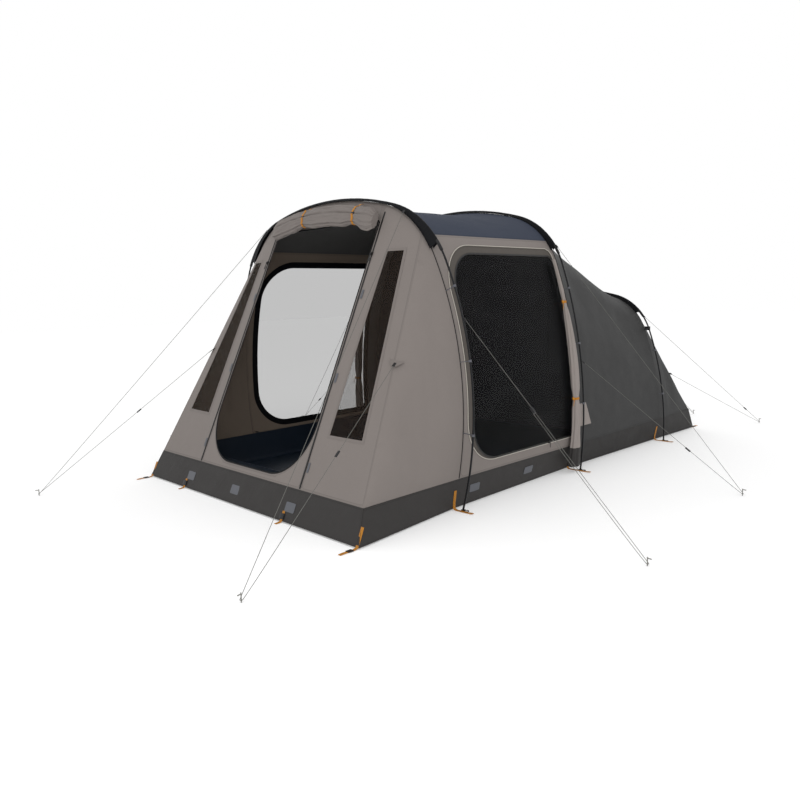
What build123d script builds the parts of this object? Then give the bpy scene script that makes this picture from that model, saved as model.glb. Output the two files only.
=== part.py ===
"""Family tunnel tent on three arched poles, pitched with guy lines and pegs.

Millimetres. X runs across the tent, Y from the front hem to the rear hem and Z up.
The origin is on the ground at the middle of the pitch. Each part is written to parts/.
"""

import os
from math import acos, asin, atan2, cos, degrees, hypot, pi, sin, sqrt, tan

from build123d import *

# --- Driving sizes -----------------------------------------------------------------
# Lengths along the tent
PORCH = 898  # front hem to the front pole
LIVING = 1353  # front pole to the middle pole
BEDROOM = 1386  # middle pole to the rear pole
TAIL = 744  # rear pole to the rear hem

# Poles: widest half-width, height of the widest place, top height and arc radii
FRONT_POLE = dict(half=1321, z_wide=659, top=2050, leg=2183, shoulder=700, roof=2518)
MID_POLE = dict(half=1260, z_wide=451, top=2051, leg=3486, shoulder=600, roof=2453)
REAR_POLE = dict(half=1232, z_wide=123, top=1403, leg=2626, shoulder=480, roof=3140)
POLE_D = 13
POLE_WALL = 1.4
SPIGOT = 70  # length of the reduced end that plugs into the roof section
SPIGOT_GAP = 0.25  # radial clearance of a spigot or foot pin in its socket
NECK = 8  # solid stretch between a leg's tube and its spigot
JOINT_DROP = 60  # pole joints sit this far below the sleeve's end
FOOT_PLATE = 5
FOOT_R = 15
PIN_L = 45
RING_R = 14
RING_T = 4

# Cloth
CLOTH = 2.4  # plain stand-in thickness of a cloth panel
SLOPED = 5.0  # the same on the sloped end panels, measured straight up
SEAM = 0.4  # clear gap between neighbouring panels
TIP = 6  # height of a gusset where it runs out at the corner
WALL_GAPS = (83, 48, 40)  # how far the walls hang inside the poles: front, middle, rear
SHOULDER_DROP = 16  # how much tighter the cloth's shoulder curve is than the pole's
SLEEVE_W = 42
SLEEVE_T = 2.0
SLEEVE_BORE_GAP = 0.5
SLEEVE_SEAT = 0.2  # the sleeve's underside to the cloth under it
SLEEVE_END_Z = (1690, 1700, 1170)  # where the sleeves stop and the clips take over
ROOF_SEAM_Z = (1750, 1750, 1215)  # walls end and the roof starts at these heights
BAND_TOP = 200  # top of the ground skirt
HEM_Z = 8
HEM_HALF = (1250, 1160, 1125, 1150, 1168)  # front corner, three poles, rear corner
CORNER_HALF = 1200  # half-width of the front panel where it meets the skirt
REAR_TAPER = 30  # the rear panel is narrower by this much each side
CREASE = 3.0  # gap along the folded edge between an end panel and its gusset
END_SETBACK = (89, 107)  # skirt top behind the hem, front and rear

# Front end
ZIP_X = 605  # the door zips, each side of the middle
ZIP_W = 11
ZIP_T = 3.0
ZIP_INNER = ZIP_X - ZIP_W / 2  # the edge that sets the zip's height on the curved panel
DOOR_INSET = 20  # zip to the edge of the door opening
DOOR_BOTTOM = 245
DOOR_TOP = 1862
DOOR_CORNER = 340
WINDOW_BOTTOM = 530
WINDOW_TOP = 1650
WINDOW_INNER = 730
WINDOW_OUTER = (1017, 850)  # at the bottom and at the top

# Side doors
SIDE_FROM = 105  # front pole to the opening
SIDE_TO = 55  # opening to the middle pole
SIDE_BOTTOM = 285
SIDE_TOP = 1625
SIDE_CORNER = 270  # radius of the opening's two corners beside the front pole
SIDE_REAR_CORNER = 40
BINDING = 10

# Rolled doors
FRONT_ROLL_R = 42
FRONT_ROLL_DROP = 118  # below the pole's crown
FRONT_ROLL_HALF = 590
ROLL_GAP = 1.7
SIDE_ROLL_R = 30
TIE_W = 18
TIE_T = 1.6
FRONT_TIE_X = (-165, 395)
SIDE_TIE_Z = (1284, 566)

# Inside
TRAY_HALF = 1070
TRAY_Z = 235
TRAY_GAP = 110  # groundsheet to the front and rear skirt tops
INNER_GAP = 60  # bedroom cloth inside the outer roof
CELL_FRONT = 70  # middle pole to the bedroom cell
CELL_REAR = 40  # bedroom cell to the rear pole
LOOP_W = 12

# Hardware
CLIP_Z = ((1415, 956, 495), (1388, 974, 520), (1014, 817, 429))
CLIP_W = 14
CORD_D = 3.0
TENSIONER = (40, 15, 8)  # length, width and thickness
TENSIONER_GAP = 0.4
PEG_D = 6
PEG_H = 46
PEG_HOOK = 24
PEG_GAP = 0.3
STRAP_W = 20
STRAP_T = 1.6
LIFT = 0.3  # between a strap and the hem above it
TAB_L = 26  # webbing tabs that the guys are tied to
TAB_W = 18
TAB_T = 5.0
DOUBLED = 6.0  # centre distance of the two strands in a doubled guy's slider

# Zip sliders
SLIDER_L = 24
SLIDER_W = 19
SLIDER_T = 9
PULLER_L = 42
CHANNEL = 2.0  # how far the slider's sides reach down beside the zip
FRONT_SLIDER_Z = 1640

# Stations along the tent
Y_FRONT = -(PORCH + LIVING + BEDROOM + TAIL) / 2
Y_POLES = (Y_FRONT + PORCH, Y_FRONT + PORCH + LIVING, Y_FRONT + PORCH + LIVING + BEDROOM)
Y_REAR = Y_POLES[2] + TAIL

# Right-hand guys: the cord's route, its peg's (x, y), where its slider rides as a share of
# the run, and which way each of its tabs faces
GUYS = {
    "front": (
        ((791.2, -1332.8, 1892.3), (1343.4, -2978.6, 12), (1361.1, -2988.5, 12),
         (1371.0, -2970.8, 12), (1077.2, -1726.4, 953.9)),
        (1356, -2970.5), 0.44, ((0, 1, 0), (0.75, -0.6, 0.3)),
    ),
    "porch": (
        ((1275.7, -1294.0, 1202.3), (2515.8, -1380.3, 12), (2529.7, -1395.9, 12),
         (2513.6, -1409.3, 12), (1803.5, -1343.2, 686.5)),
        (2511, -1394.5), 0.418, ((0.967, 0, 0.256),),
    ),
    "side": (
        ((1032.7, 61.3, 1698.5), (2405.9, 142.2, 12), (2421.7, 128.5, 12),
         (2407.5, 113.2, 12), (1268.4, 61.7, 825.9)),
        (2403, 127.5), 0.69, ((0.8335, 0, 0.5525), (0.9938, 0, 0.1116)),
    ),
    "rear": (
        ((1022.3, 1474.4, 1114.2), (1587.8, 2800.2, 12), (1581.0, 2819.5, 12),
         (1561.8, 2812.5, 12), (1090.1, 1884.0, 551.0)),
        (1573, 2802.5), 0.861, ((0, 1, 0), (0.75, 0.6, 0.3)),
    ),
    "back": (
        ((302.6, 1488.2, 1367.8), (857.9, 2930.8, 12), (849.8, 2950.0, 12),
         (830.9, 2941.3, 12), (686.6, 2544.8, 373.8)),
        (843, 2932.5), 0.72, ((0, 1, 0),),
    ),
}

SIDES = (1, -1)
REAR_HALF = CORNER_HALF - REAR_TAPER


# --- Arches ------------------------------------------------------------------------
class Arch:
    """A three-centred arch. A place on it is named by the angle of its outward normal."""

    def __init__(self, y, half, z_wide, top, leg, shoulder, roof):
        self.y = y
        self.leg = (half - leg, z_wide, leg)
        self.roof = (0, top - roof, roof)
        (lx, lz, _), (rx, rz, _) = self.leg, self.roof
        to_leg = leg - shoulder
        to_roof = roof - shoulder
        span = hypot(rx - lx, rz - lz)
        along = (to_leg**2 - to_roof**2 + span**2) / (2 * span)
        across = sqrt(to_leg**2 - along**2)
        ux, uz = (rx - lx) / span, (rz - lz) / span
        self.shoulder = max(
            (lx + ux * along - s * uz * across, lz + uz * along + s * ux * across, shoulder)
            for s in SIDES
        )
        sx, sz, _ = self.shoulder
        self.low = atan2(sz - lz, sx - lx)
        self.high = atan2(sz - rz, sx - rx)

    def circle(self, angle):
        if angle > pi / 2:
            x, z, r = self.circle(pi - angle)
            return (-x, z, r)
        if angle < self.low - 1e-9:
            return self.leg
        if angle < self.high - 1e-9:
            return self.shoulder
        return self.roof

    def point(self, angle, out=0.0):
        x, z, r = self.circle(angle)
        return Vector(x + (r + out) * cos(angle), self.y, z + (r + out) * sin(angle))

    def angle_at_height(self, z, out=0.0):
        for cx, cz, r in (self.leg, self.shoulder, self.roof):
            if abs(z - cz) <= r + out:
                angle = asin((z - cz) / (r + out))
                if self.circle(angle) == (cx, cz, r):
                    return angle
        return self.low

    def angle_at_x(self, x):
        for cx, cz, r in (self.roof, self.shoulder, self.leg):
            if abs(x - cx) <= r:
                angle = acos((x - cx) / r)
                if self.circle(angle) == (cx, cz, r):
                    return angle
        return self.high

    def breaks(self, start, end):
        turns = (self.low, self.high, pi - self.high, pi - self.low)
        return [start, *(a for a in turns if start + 1e-6 < a < end - 1e-6), end]

    def arcs(self, start, end, out):
        """The arcs from one normal angle to another, offset outward."""
        marks = self.breaks(start, end)
        made = []
        for a, b in zip(marks, marks[1:]):
            middle = (a + b) / 2
            x, z, r = self.circle(middle)
            ends = [
                Vector(x + (r + out) * cos(t), self.y, z + (r + out) * sin(t))
                for t in (a, middle, b)
            ]
            made.append(Edge.make_three_point_arc(*ends))
        return made

    def band(self, start, end, inner, outer):
        """A closed outline between two offsets of the arch."""
        over = self.arcs(start, end, outer)
        under = self.arcs(start, end, inner)
        first = Edge.make_line(under[0] @ 0, over[0] @ 0)
        last = Edge.make_line(over[-1] @ 1, under[-1] @ 1)
        return Wire([first, *over, last, *under[::-1]])


def moved(arch, y):
    """The same arch, standing in another plane."""
    copy = Arch.__new__(Arch)
    copy.__dict__.update(arch.__dict__)
    copy.y = y
    return copy


def pole_arch(y, sizes):
    return Arch(y, **sizes)


def cloth_arch(y, sizes, gap, rise):
    """The cloth under a pole: against the sleeve on the roof and inside it at the walls.

    Where the roof rises to one side of the pole, it starts lower by what it gains there.
    """
    drop = POLE_D / 2 + SLEEVE_T + SLEEVE_BORE_GAP + rise * SLEEVE_W / 2
    own = dict(sizes)
    own["half"] = sizes["half"] - gap
    own["top"] = sizes["top"] - drop
    own["roof"] = sizes["roof"] - drop
    own["shoulder"] = sizes["shoulder"] - drop - SHOULDER_DROP
    return Arch(y, **own)


POLE_SIZES = (FRONT_POLE, MID_POLE, REAR_POLE)
POLES = [pole_arch(y, sizes) for y, sizes in zip(Y_POLES, POLE_SIZES)]
ROOF_FALL = (MID_POLE["top"] - REAR_POLE["top"]) / BEDROOM
ROOF_RISES = (0.0, 0.0, 1.05 * ROOF_FALL)
CLOTHS = [cloth_arch(*row) for row in zip(Y_POLES, POLE_SIZES, WALL_GAPS, ROOF_RISES)]


# --- Helpers -----------------------------------------------------------------------
def write(name, *shapes):
    """One STEP file with one or more separate solids."""
    solids = [s for shape in shapes for s in shape.solids()]
    export_step(Compound(children=solids) if len(solids) > 1 else solids[0], f"parts/{name}.step")


def mirrored(shape):
    return shape.mirror(Plane.YZ)


def both(shape):
    return [shape, mirrored(shape)]


def skin(*outlines):
    """A cloth panel with straight threads between closed outlines."""
    return Solid.make_loft(list(outlines), True)


def rim(y, xs, z, thick):
    """A thin level outline across the tent, cut at the given places."""
    over = [Edge.make_line((a, y, z + thick), (b, y, z + thick)) for a, b in zip(xs, xs[1:])]
    under = [Edge.make_line((a, y, z), (b, y, z)) for a, b in zip(xs, xs[1:])]
    first = Edge.make_line((xs[0], y, z), (xs[0], y, z + thick))
    last = Edge.make_line((xs[-1], y, z + thick), (xs[-1], y, z))
    return Wire([first, *over, last, *under[::-1]])


def upright(y, bottom, top, thick):
    """A thin outline in a plane across the tent, from one (x, z) place up to another."""
    (x0, z0), (x1, z1) = bottom, top
    corners = [(x0 - thick, y, z0), (x0, y, z0), (x1, y, z1), (x1 - thick, y, z1)]
    return Wire.make_polygon([Vector(*c) for c in corners], close=True)


def sweep_tube(path, radius, bore=0.0):
    start = Plane(origin=path @ 0, z_dir=path % 0)
    section = start * Circle(radius)
    if bore:
        section -= start * Circle(bore)
    return sweep(section, path=path)


def arch_path(arch, start, end, out=0.0):
    return Wire(arch.arcs(start, end, out))


# --- Poles -------------------------------------------------------------------------
def poles():
    inside = POLE_D / 2 - POLE_WALL
    for name, arch, sleeve_z in zip(("front", "middle", "rear"), POLES, SLEEVE_END_Z):
        joint = arch.angle_at_height(sleeve_z - JOINT_DROP)
        radius = arch.circle(joint)[2]
        foot = foot_angle(arch)
        shut = joint - SEAM / radius
        roof = sweep_tube(arch_path(arch, joint, pi - joint), POLE_D / 2, inside)
        leg = sweep_tube(arch_path(arch, foot, shut - NECK / radius), POLE_D / 2, inside)
        neck = sweep_tube(arch_path(arch, shut - NECK / radius, shut), POLE_D / 2)
        spigot = sweep_tube(
            arch_path(arch, shut, joint + SPIGOT / radius), inside - SPIGOT_GAP
        )
        write(f"{name}_pole_roof", roof)
        write(f"{name}_pole_legs", *both(leg + neck + spigot))


def foot_angle(arch):
    """Where a leg's slanted end just clears its ground plate."""
    lean = abs(sin(arch.angle_at_height(FOOT_PLATE)))
    return arch.angle_at_height(FOOT_PLATE + SEAM + POLE_D / 2 * lean)


def feet():
    """Ground plates with an upright pin that stands inside each pole leg, and a flat ring."""
    made = []
    pin_r = POLE_D / 2 - POLE_WALL - SPIGOT_GAP
    for arch in POLES:
        foot = foot_angle(arch)
        base = arch.point(foot)
        middle = arch.point(foot + PIN_L / 2 / arch.leg[2])
        rise = Vector(-sin(foot), 0, cos(foot))
        plate = Pos(base.X, base.Y, FOOT_PLATE / 2) * Cylinder(FOOT_R, FOOT_PLATE)
        below = (base.Z - FOOT_PLATE / 2) / rise.Z
        pin_plane = Plane(origin=base - rise * below, z_dir=(middle - base).normalized())
        pin = pin_plane * Cylinder(
            pin_r, PIN_L + below, align=(Align.CENTER, Align.CENTER, Align.MIN)
        )
        ring_x = base.X + FOOT_R + RING_R - 1
        ring = Cylinder(RING_R + RING_T / 2, RING_T) - Cylinder(RING_R - RING_T / 2, RING_T)
        made.extend(both(plate + pin + Pos(ring_x, base.Y, RING_T / 2) * ring))
    write("pole_feet", *made)


def sleeves():
    """Sewn pockets that carry the poles across the roof."""
    low = -(POLE_D / 2 + SLEEVE_T + SLEEVE_BORE_GAP) + SLEEVE_SEAT
    bore = POLE_D / 2 + SLEEVE_BORE_GAP
    made = []
    for arch, z in zip(POLES, SLEEVE_END_Z):
        start = arch.angle_at_height(z)
        path = arch_path(arch, start, pi - start)
        plane = Plane(origin=path @ 0, x_dir=(0, 1, 0), z_dir=path % 0)
        outward = Vector(cos(start), 0, sin(start))
        sign = 1 if plane.y_dir.dot(outward) > 0 else -1
        crown = bore + SLEEVE_T
        shape = Polygon(
            (-SLEEVE_W / 2, sign * low),
            (SLEEVE_W / 2, sign * low),
            (SLEEVE_W / 2, sign * (low + SLEEVE_T)),
            (crown, sign * crown),
            (-crown, sign * crown),
            (-SLEEVE_W / 2, sign * (low + SLEEVE_T)),
            align=None,
        )
        section = plane * (shape - Circle(bore))
        made.append(sweep(section, path=path))
    write("pole_sleeves", *made)


# --- Walls and roof ----------------------------------------------------------------
def between(first, second, bounds, inner=-CLOTH, outer=0.0, ends=(SEAM, SEAM)):
    """A panel from one arch to the next, between matching angles on each."""
    a = moved(first, first.y + ends[0])
    b = moved(second, second.y - ends[1])
    (a0, a1), (b0, b1) = bounds
    return skin(a.band(a0, a1, inner, outer), b.band(b0, b1, inner, outer))


def wall_bounds(index):
    arch = CLOTHS[index]
    low = arch.angle_at_height(BAND_TOP + SEAM)
    high = arch.angle_at_height(ROOF_SEAM_Z[index]) - SEAM / 1000
    return (low, high)


def roof_bounds(index):
    start = CLOTHS[index].angle_at_height(ROOF_SEAM_Z[index])
    return (start, pi - start)


def side_door(margin, corner):
    """A prism through the right wall with its front corners well rounded."""
    y0 = Y_POLES[0] + SIDE_FROM - margin
    y1 = Y_POLES[1] - SIDE_TO + margin
    z0 = SIDE_BOTTOM - margin
    z1 = SIDE_TOP + margin
    block = Pos(1100, (y0 + y1) / 2, (z0 + z1) / 2) * Box(800, y1 - y0, z1 - z0)
    front = block.edges().filter_by(Axis.X).sort_by(Axis.Y)[:2]
    block = fillet(front, corner + margin)
    rear = block.edges().filter_by(Axis.X).sort_by(Axis.Y)[-2:]
    return fillet(rear, SIDE_REAR_CORNER + margin)


def side_walls():
    bounds = (wall_bounds(0), wall_bounds(1))
    full = between(CLOTHS[0], CLOTHS[1], bounds)
    wall = full - side_door(0, SIDE_CORNER)
    write("right_wall", wall)
    write("left_wall", mirrored(wall))
    mesh = full & side_door(-SEAM, SIDE_CORNER)
    write("side_door_mesh", *both(mesh))
    layer = between(CLOTHS[0], CLOTHS[1], bounds, SEAM / 2, SEAM / 2 + ZIP_T, (1, 1))
    ring = layer & (side_door(BINDING, SIDE_CORNER) - side_door(0.5, SIDE_CORNER))
    write("side_door_zips", *both(ring))
    write("living_roof", between(CLOTHS[0], CLOTHS[1], (roof_bounds(0), roof_bounds(1))))


def bedroom():
    wall = between(CLOTHS[1], CLOTHS[2], (wall_bounds(1), wall_bounds(2)))
    write("bedroom_walls", *both(wall))
    roof = between(CLOTHS[1], CLOTHS[2], (roof_bounds(1), roof_bounds(2)))
    write("bedroom_roof", roof)


def inner_tent():
    """The sleeping cell hung inside the rear half, with its own front wall."""
    front = CLOTHS[1]
    rear = CLOTHS[2]
    bounds = [(a.angle_at_height(TRAY_Z + 40), 0) for a in (front, rear)]
    bounds = [(low, pi - low) for low, _ in bounds]
    out = -INNER_GAP
    shell = between(front, rear, bounds, out - CLOTH, out, (CELL_FRONT, CELL_REAR))
    write("bedroom_inner_shell", shell)
    plane = moved(front, front.y + CELL_FRONT - CLOTH - SEAM)
    low, high = bounds[0]
    base = plane.arcs(low, high, out)
    closing = Edge.make_line(base[-1] @ 1, base[0] @ 0)
    screen = extrude(Face(Wire([*base, closing])), amount=CLOTH, dir=(0, 1, 0))
    write("bedroom_inner_front", screen)
    return [hanger(share) for share in (0.12, 0.5, 0.88)]


def hanger(share):
    """A short crown loop between the outer roof and the bedroom cell."""
    front, rear = CLOTHS[1:]
    crowns = [arch.point(pi / 2).Z for arch in (front, rear)]
    y = front.y + CELL_FRONT + (rear.y - front.y - CELL_FRONT - CELL_REAR) * share
    fall = (crowns[0] - crowns[1]) / (rear.y - front.y)
    cell_fall = (crowns[0] - crowns[1]) / (rear.y - front.y - CELL_FRONT - CELL_REAR)
    half = LOOP_W / 2
    top = crowns[0] - CLOTH - fall * (y + half - front.y) - SEAM - 0.3
    bottom = crowns[0] - INNER_GAP - cell_fall * (y - half - front.y - CELL_FRONT) + SEAM
    return Pos(0, y, (top + bottom) / 2) * Box(LOOP_W, LOOP_W, top - bottom)


# --- Front and rear ends -----------------------------------------------------------
def end_line(front):
    """The plane of the end panel's lower edge and the hem under it."""
    if front:
        return Y_FRONT + END_SETBACK[0], Y_FRONT
    return Y_REAR - END_SETBACK[1], Y_REAR


def sloped(arch, start, end, low_xs, y_low, inner, outer, seam):
    """An end panel from part of an arch down to the top of the skirt."""
    top = moved(arch, arch.y + seam)
    marks = top.breaks(start, end)
    shares = [(m - start) / (end - start) for m in marks]
    xs = [low_xs[0] + (low_xs[1] - low_xs[0]) * s for s in shares]
    low_z = BAND_TOP + SEAM + inner + SLOPED
    return skin(top.band(start, end, inner, outer), rim(y_low, xs, low_z, outer - inner))


def front_prism(points, radius=0.0):
    """A prism along Y from corners given across the front, with its lower edges rounded."""
    face = Face(Wire.make_polygon([Vector(x, Y_FRONT - 200, z) for x, z in points], close=True))
    block = extrude(face, amount=1400, dir=(0, 1, 0))
    if radius:
        block = fillet(block.edges().filter_by(Axis.Y).sort_by(Axis.Z)[:2], radius)
    return block


def front_end():
    arch = CLOTHS[0]
    y_low = end_line(True)[0]
    zip_angle = arch.angle_at_x(ZIP_X)
    corner_angle = arch.angle_at_height(ROOF_SEAM_Z[0])
    gap = SEAM / 1000
    middle = sloped(
        arch, zip_angle + gap, pi - zip_angle - gap, (ZIP_X - 1, 1 - ZIP_X), y_low,
        -SLOPED, 0, -SEAM,
    )
    half_door = ZIP_X - DOOR_INSET
    corners = [
        (-half_door, DOOR_BOTTOM), (half_door, DOOR_BOTTOM),
        (half_door, DOOR_TOP), (-half_door, DOOR_TOP),
    ]
    write("front_door_surround", middle - front_prism(corners, DOOR_CORNER))
    side = sloped(
        arch, corner_angle, zip_angle, (CORNER_HALF, ZIP_X), y_low, -SLOPED, 0, -SEAM
    )

    def window(margin):
        bottom, top = WINDOW_OUTER
        corners = [
            (WINDOW_INNER - margin, WINDOW_BOTTOM - margin),
            (bottom + margin, WINDOW_BOTTOM - margin),
            (top + margin, WINDOW_TOP + margin),
            (WINDOW_INNER - margin, WINDOW_TOP + margin),
        ]
        return front_prism(corners)

    write("front_side_panels", *both(side - window(0)))
    write("front_window_mesh", *both(side & window(-SEAM)))
    low = arch.angle_at_height(BAND_TOP + SEAM)
    high = corner_angle - CREASE / arch.shoulder[2]
    strip = zip_strip(arch, y_low)
    write("front_door_zips", *both(strip))
    return both(gusset(arch, low, high, y_low, -SEAM))


def zip_strip(arch, y_low):
    """The right zip: a flat-sided strip on the panel, ending below the sleeve."""
    share = (SLEEVE_W / 2 + 4) / (arch.y - SEAM - y_low)
    top_z = arch.point(arch.angle_at_x(ZIP_INNER)).Z + SEAM
    low_z = BAND_TOP + 2 * SEAM + SLOPED
    sections = []
    for cut in (share, 1.0):
        y = arch.y - SEAM + (y_low - arch.y + SEAM) * cut
        z = top_z + (low_z - top_z) * cut
        corners = [
            Vector(ZIP_INNER, y, z), Vector(ZIP_INNER + ZIP_W, y, z),
            Vector(ZIP_INNER + ZIP_W, y, z + 2 * ZIP_T), Vector(ZIP_INNER, y, z + 2 * ZIP_T),
        ]
        sections.append(Wire.make_polygon(corners, close=True))
    return skin(*sections)


def gusset(arch, low, high, y_low, seam, x_corner=CORNER_HALF):
    """The triangle between a pole leg and the folded edge of an end panel."""
    top = moved(arch, arch.y + seam)
    x = x_corner + CREASE
    marks = top.breaks(low, high)
    base = BAND_TOP + SEAM
    levels = [base + TIP * (m - low) / (high - low) for m in marks]
    runs = list(zip(levels, levels[1:]))
    outer = [Edge.make_line((x + CLOTH, y_low, a), (x + CLOTH, y_low, b)) for a, b in runs]
    inner = [Edge.make_line((x, y_low, a), (x, y_low, b)) for a, b in runs]
    first = Edge.make_line((x, y_low, base), (x + CLOTH, y_low, base))
    last = Edge.make_line((x + CLOTH, y_low, levels[-1]), (x, y_low, levels[-1]))
    tip = Wire([first, *outer, last, *inner[::-1]])
    return skin(top.band(low, high, -CLOTH, 0), tip)


def rear_end():
    arch = CLOTHS[2]
    y_low = end_line(False)[0]
    corner_angle = arch.angle_at_height(ROOF_SEAM_Z[2])
    panel = sloped(
        arch, corner_angle, pi - corner_angle, (REAR_HALF, -REAR_HALF), y_low,
        -SLOPED, 0, SEAM,
    )
    write("rear_panel", panel)
    low = arch.angle_at_height(BAND_TOP + SEAM)
    high = corner_angle - CREASE / arch.shoulder[2]
    return both(gusset(arch, low, high, y_low, SEAM, REAR_HALF))


def skirts():
    """The dark mud skirt all round, standing out a little towards the ground."""
    ends = []
    for front, half in ((True, CORNER_HALF), (False, REAR_HALF)):
        y_top, y_hem = end_line(front)
        hem_half = HEM_HALF[0] if front else HEM_HALF[-1]
        top = rim(y_top, (-half, half), BAND_TOP - SLOPED - SEAM, SLOPED)
        hem = rim(y_hem, (-hem_half, hem_half), HEM_Z, SLOPED)
        ends.append(skin(hem, top))
    write("end_skirts", *ends)
    top_z = BAND_TOP - SEAM
    front_top, front_hem = end_line(True)
    rear_top, rear_hem = end_line(False)
    gap = 1.0 + CLOTH
    front_x = HEM_HALF[0] + gap
    rear_x = HEM_HALF[-1] + gap
    stations = [
        upright(front_hem, (front_x, HEM_Z), (front_x, HEM_Z + TIP), CLOTH),
        upright(front_top, (front_x - 6, HEM_Z), (CORNER_HALF + gap, top_z), CLOTH),
    ]
    for arch, half in zip(CLOTHS, HEM_HALF[1:4]):
        x_top = arch.point(arch.angle_at_height(top_z)).X
        stations.append(upright(arch.y, (half, HEM_Z), (x_top, top_z), CLOTH))
    stations.append(upright(rear_top, (rear_x, HEM_Z), (REAR_HALF + gap, top_z), CLOTH))
    stations.append(upright(rear_hem, (rear_x, HEM_Z), (rear_x, HEM_Z + TIP), CLOTH))
    side = skin(*stations)
    write("side_skirts", *both(side))


# --- Rolled doors ------------------------------------------------------------------
def front_roll_arch():
    """The line of the front roll, hung in front of the door's top edge."""
    crown = CLOTHS[0]
    low_y = end_line(True)[0]
    rise = (crown.point(pi / 2).Z - BAND_TOP) / (crown.y - low_y)
    roll_z = FRONT_POLE["top"] - FRONT_ROLL_DROP
    y = crown.y - (crown.point(pi / 2).Z - roll_z) / rise
    y -= (FRONT_ROLL_R + SEAM + TIE_T + ROLL_GAP) * sqrt(1 + rise**2) / rise
    drop = dict(FRONT_POLE)
    drop["top"] = roll_z
    drop["half"] = FRONT_POLE["half"] - FRONT_ROLL_DROP / 3
    return pole_arch(y, drop)


def rolls():
    arch = front_roll_arch()
    start = arch.angle_at_x(FRONT_ROLL_HALF)
    roll = sweep_tube(arch_path(arch, start, pi - start), FRONT_ROLL_R)
    write("rolled_front_door", roll)
    ties = []
    for x in FRONT_TIE_X:
        angle = arch.angle_at_x(abs(x))
        angle = angle if x > 0 else pi - angle
        ties.append(tie(arch.point(angle), angle, FRONT_ROLL_R))
    y_roll = Y_POLES[1] - SIDE_TO - SIDE_ROLL_R
    wall = moved(CLOTHS[1], y_roll)
    out = SIDE_ROLL_R + ZIP_T + 2
    low = wall.angle_at_height(HEM_Z + 50, out)
    high = wall.angle_at_height(SIDE_TOP - 20, out)
    side = sweep_tube(arch_path(wall, low, high, out), SIDE_ROLL_R)
    write("rolled_side_doors", *both(side))
    for z in SIDE_TIE_Z:
        angle = wall.angle_at_height(z, out)
        ties.extend(both(tie(wall.point(angle, out), angle, SIDE_ROLL_R)))
    write("door_ties", *ties)


def tie(point, angle, radius):
    """A strap round a rolled door, with a small toggle on its outer side."""
    tangent = Vector(-sin(angle), 0, cos(angle))
    spot = Plane(origin=point, x_dir=(0, -1, 0), z_dir=tangent)
    band = Cylinder(radius + SEAM + TIE_T, TIE_W) - Cylinder(radius + SEAM, TIE_W)
    toggle = Pos(radius + SEAM + TIE_T + 4, 0, 0) * Box(9, 12, 24)
    return spot * (band + toggle)


# --- Inside ------------------------------------------------------------------------
def groundsheet():
    y0 = end_line(True)[0] + TRAY_GAP
    y1 = end_line(False)[0] - TRAY_GAP
    size = (2 * TRAY_HALF, y1 - y0, TRAY_Z)
    middle = (y0 + y1) / 2
    outer = Pos(0, middle, TRAY_Z / 2) * Box(*size)
    inner = Pos(0, middle, TRAY_Z / 2 + CLOTH) * Box(
        size[0] - 2 * CLOTH, size[1] - 2 * CLOTH, TRAY_Z
    )
    write("groundsheet", outer - inner)
    loops = []
    for arch in CLOTHS:
        wall_x = arch.point(arch.angle_at_height(BAND_TOP + 20)).X - CLOTH
        length = wall_x - TRAY_HALF - 2 * SEAM - 1
        spot = Pos(TRAY_HALF + SEAM + length / 2, arch.y + 30, BAND_TOP + 22)
        loops.extend(both(spot * Box(length, STRAP_W, STRAP_T)))
    return loops


# --- Clips, straps and patches ------------------------------------------------------
def clips():
    made = []
    for pole, cloth, heights in zip(POLES, CLOTHS, CLIP_Z):
        for z in heights:
            angle = pole.angle_at_height(z)
            centre = pole.point(angle)
            normal = Vector(cos(angle), 0, sin(angle))
            wall = cloth.point(cloth.angle_at_height(z))
            reach = (centre.X - wall.X) * cos(angle) - SEAM - 0.9
            tangent = Vector(-sin(angle), 0, cos(angle))
            spot = Plane(origin=centre, x_dir=normal, z_dir=tangent)
            arm = Pos(-reach / 2, 0, 0) * Box(reach, 6, 4)
            ring = Cylinder(POLE_D / 2 + 3.5, CLIP_W)
            hook = ring + arm - Cylinder(POLE_D / 2 + SEAM, CLIP_W + 2)
            made.extend(both(spot * hook))
    write("pole_clips", *made)


def straps():
    """Webbing from the skirt's hem to the pegs at the pole feet and corners."""
    made = []
    for arch, half in zip(POLES, HEM_HALF[1:4]):
        foot = arch.point(arch.angle_at_height(FOOT_PLATE)).X
        x1 = foot + FOOT_R + 2 * RING_R + 60
        length = x1 - half
        spot = Pos(half + length / 2, arch.y - FOOT_R - STRAP_W / 2 - 1, STRAP_T / 2)
        tab = Pos(half - 1, arch.y - FOOT_R - STRAP_W / 2 - 1, (HEM_Z - LIFT) / 2)
        made.extend(both(spot * Box(length, STRAP_W, STRAP_T) + tab * Box(3, STRAP_W, HEM_Z - LIFT)))
    for front, half in ((True, HEM_HALF[0]), (False, HEM_HALF[-1])):
        y = end_line(front)[1]
        out = -1 if front else 1
        spot = Pos(half - 12, y + out * 62, STRAP_T / 2)
        riser = Pos(half - 12, y + out * 3, (HEM_Z - LIFT) / 2)
        made.extend(both(spot * Box(STRAP_W, 124, STRAP_T) + riser * Box(STRAP_W, 6, HEM_Z - LIFT)))
    for x in (-717, 521):
        spot = Pos(x, Y_FRONT - 22, STRAP_T / 2)
        riser = Pos(x, Y_FRONT - 3, (HEM_Z - LIFT) / 2)
        made.append(spot * Box(STRAP_W, 44, STRAP_T) + riser * Box(STRAP_W, 6, HEM_Z - LIFT))
    write("peg_straps", *made)


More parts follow.
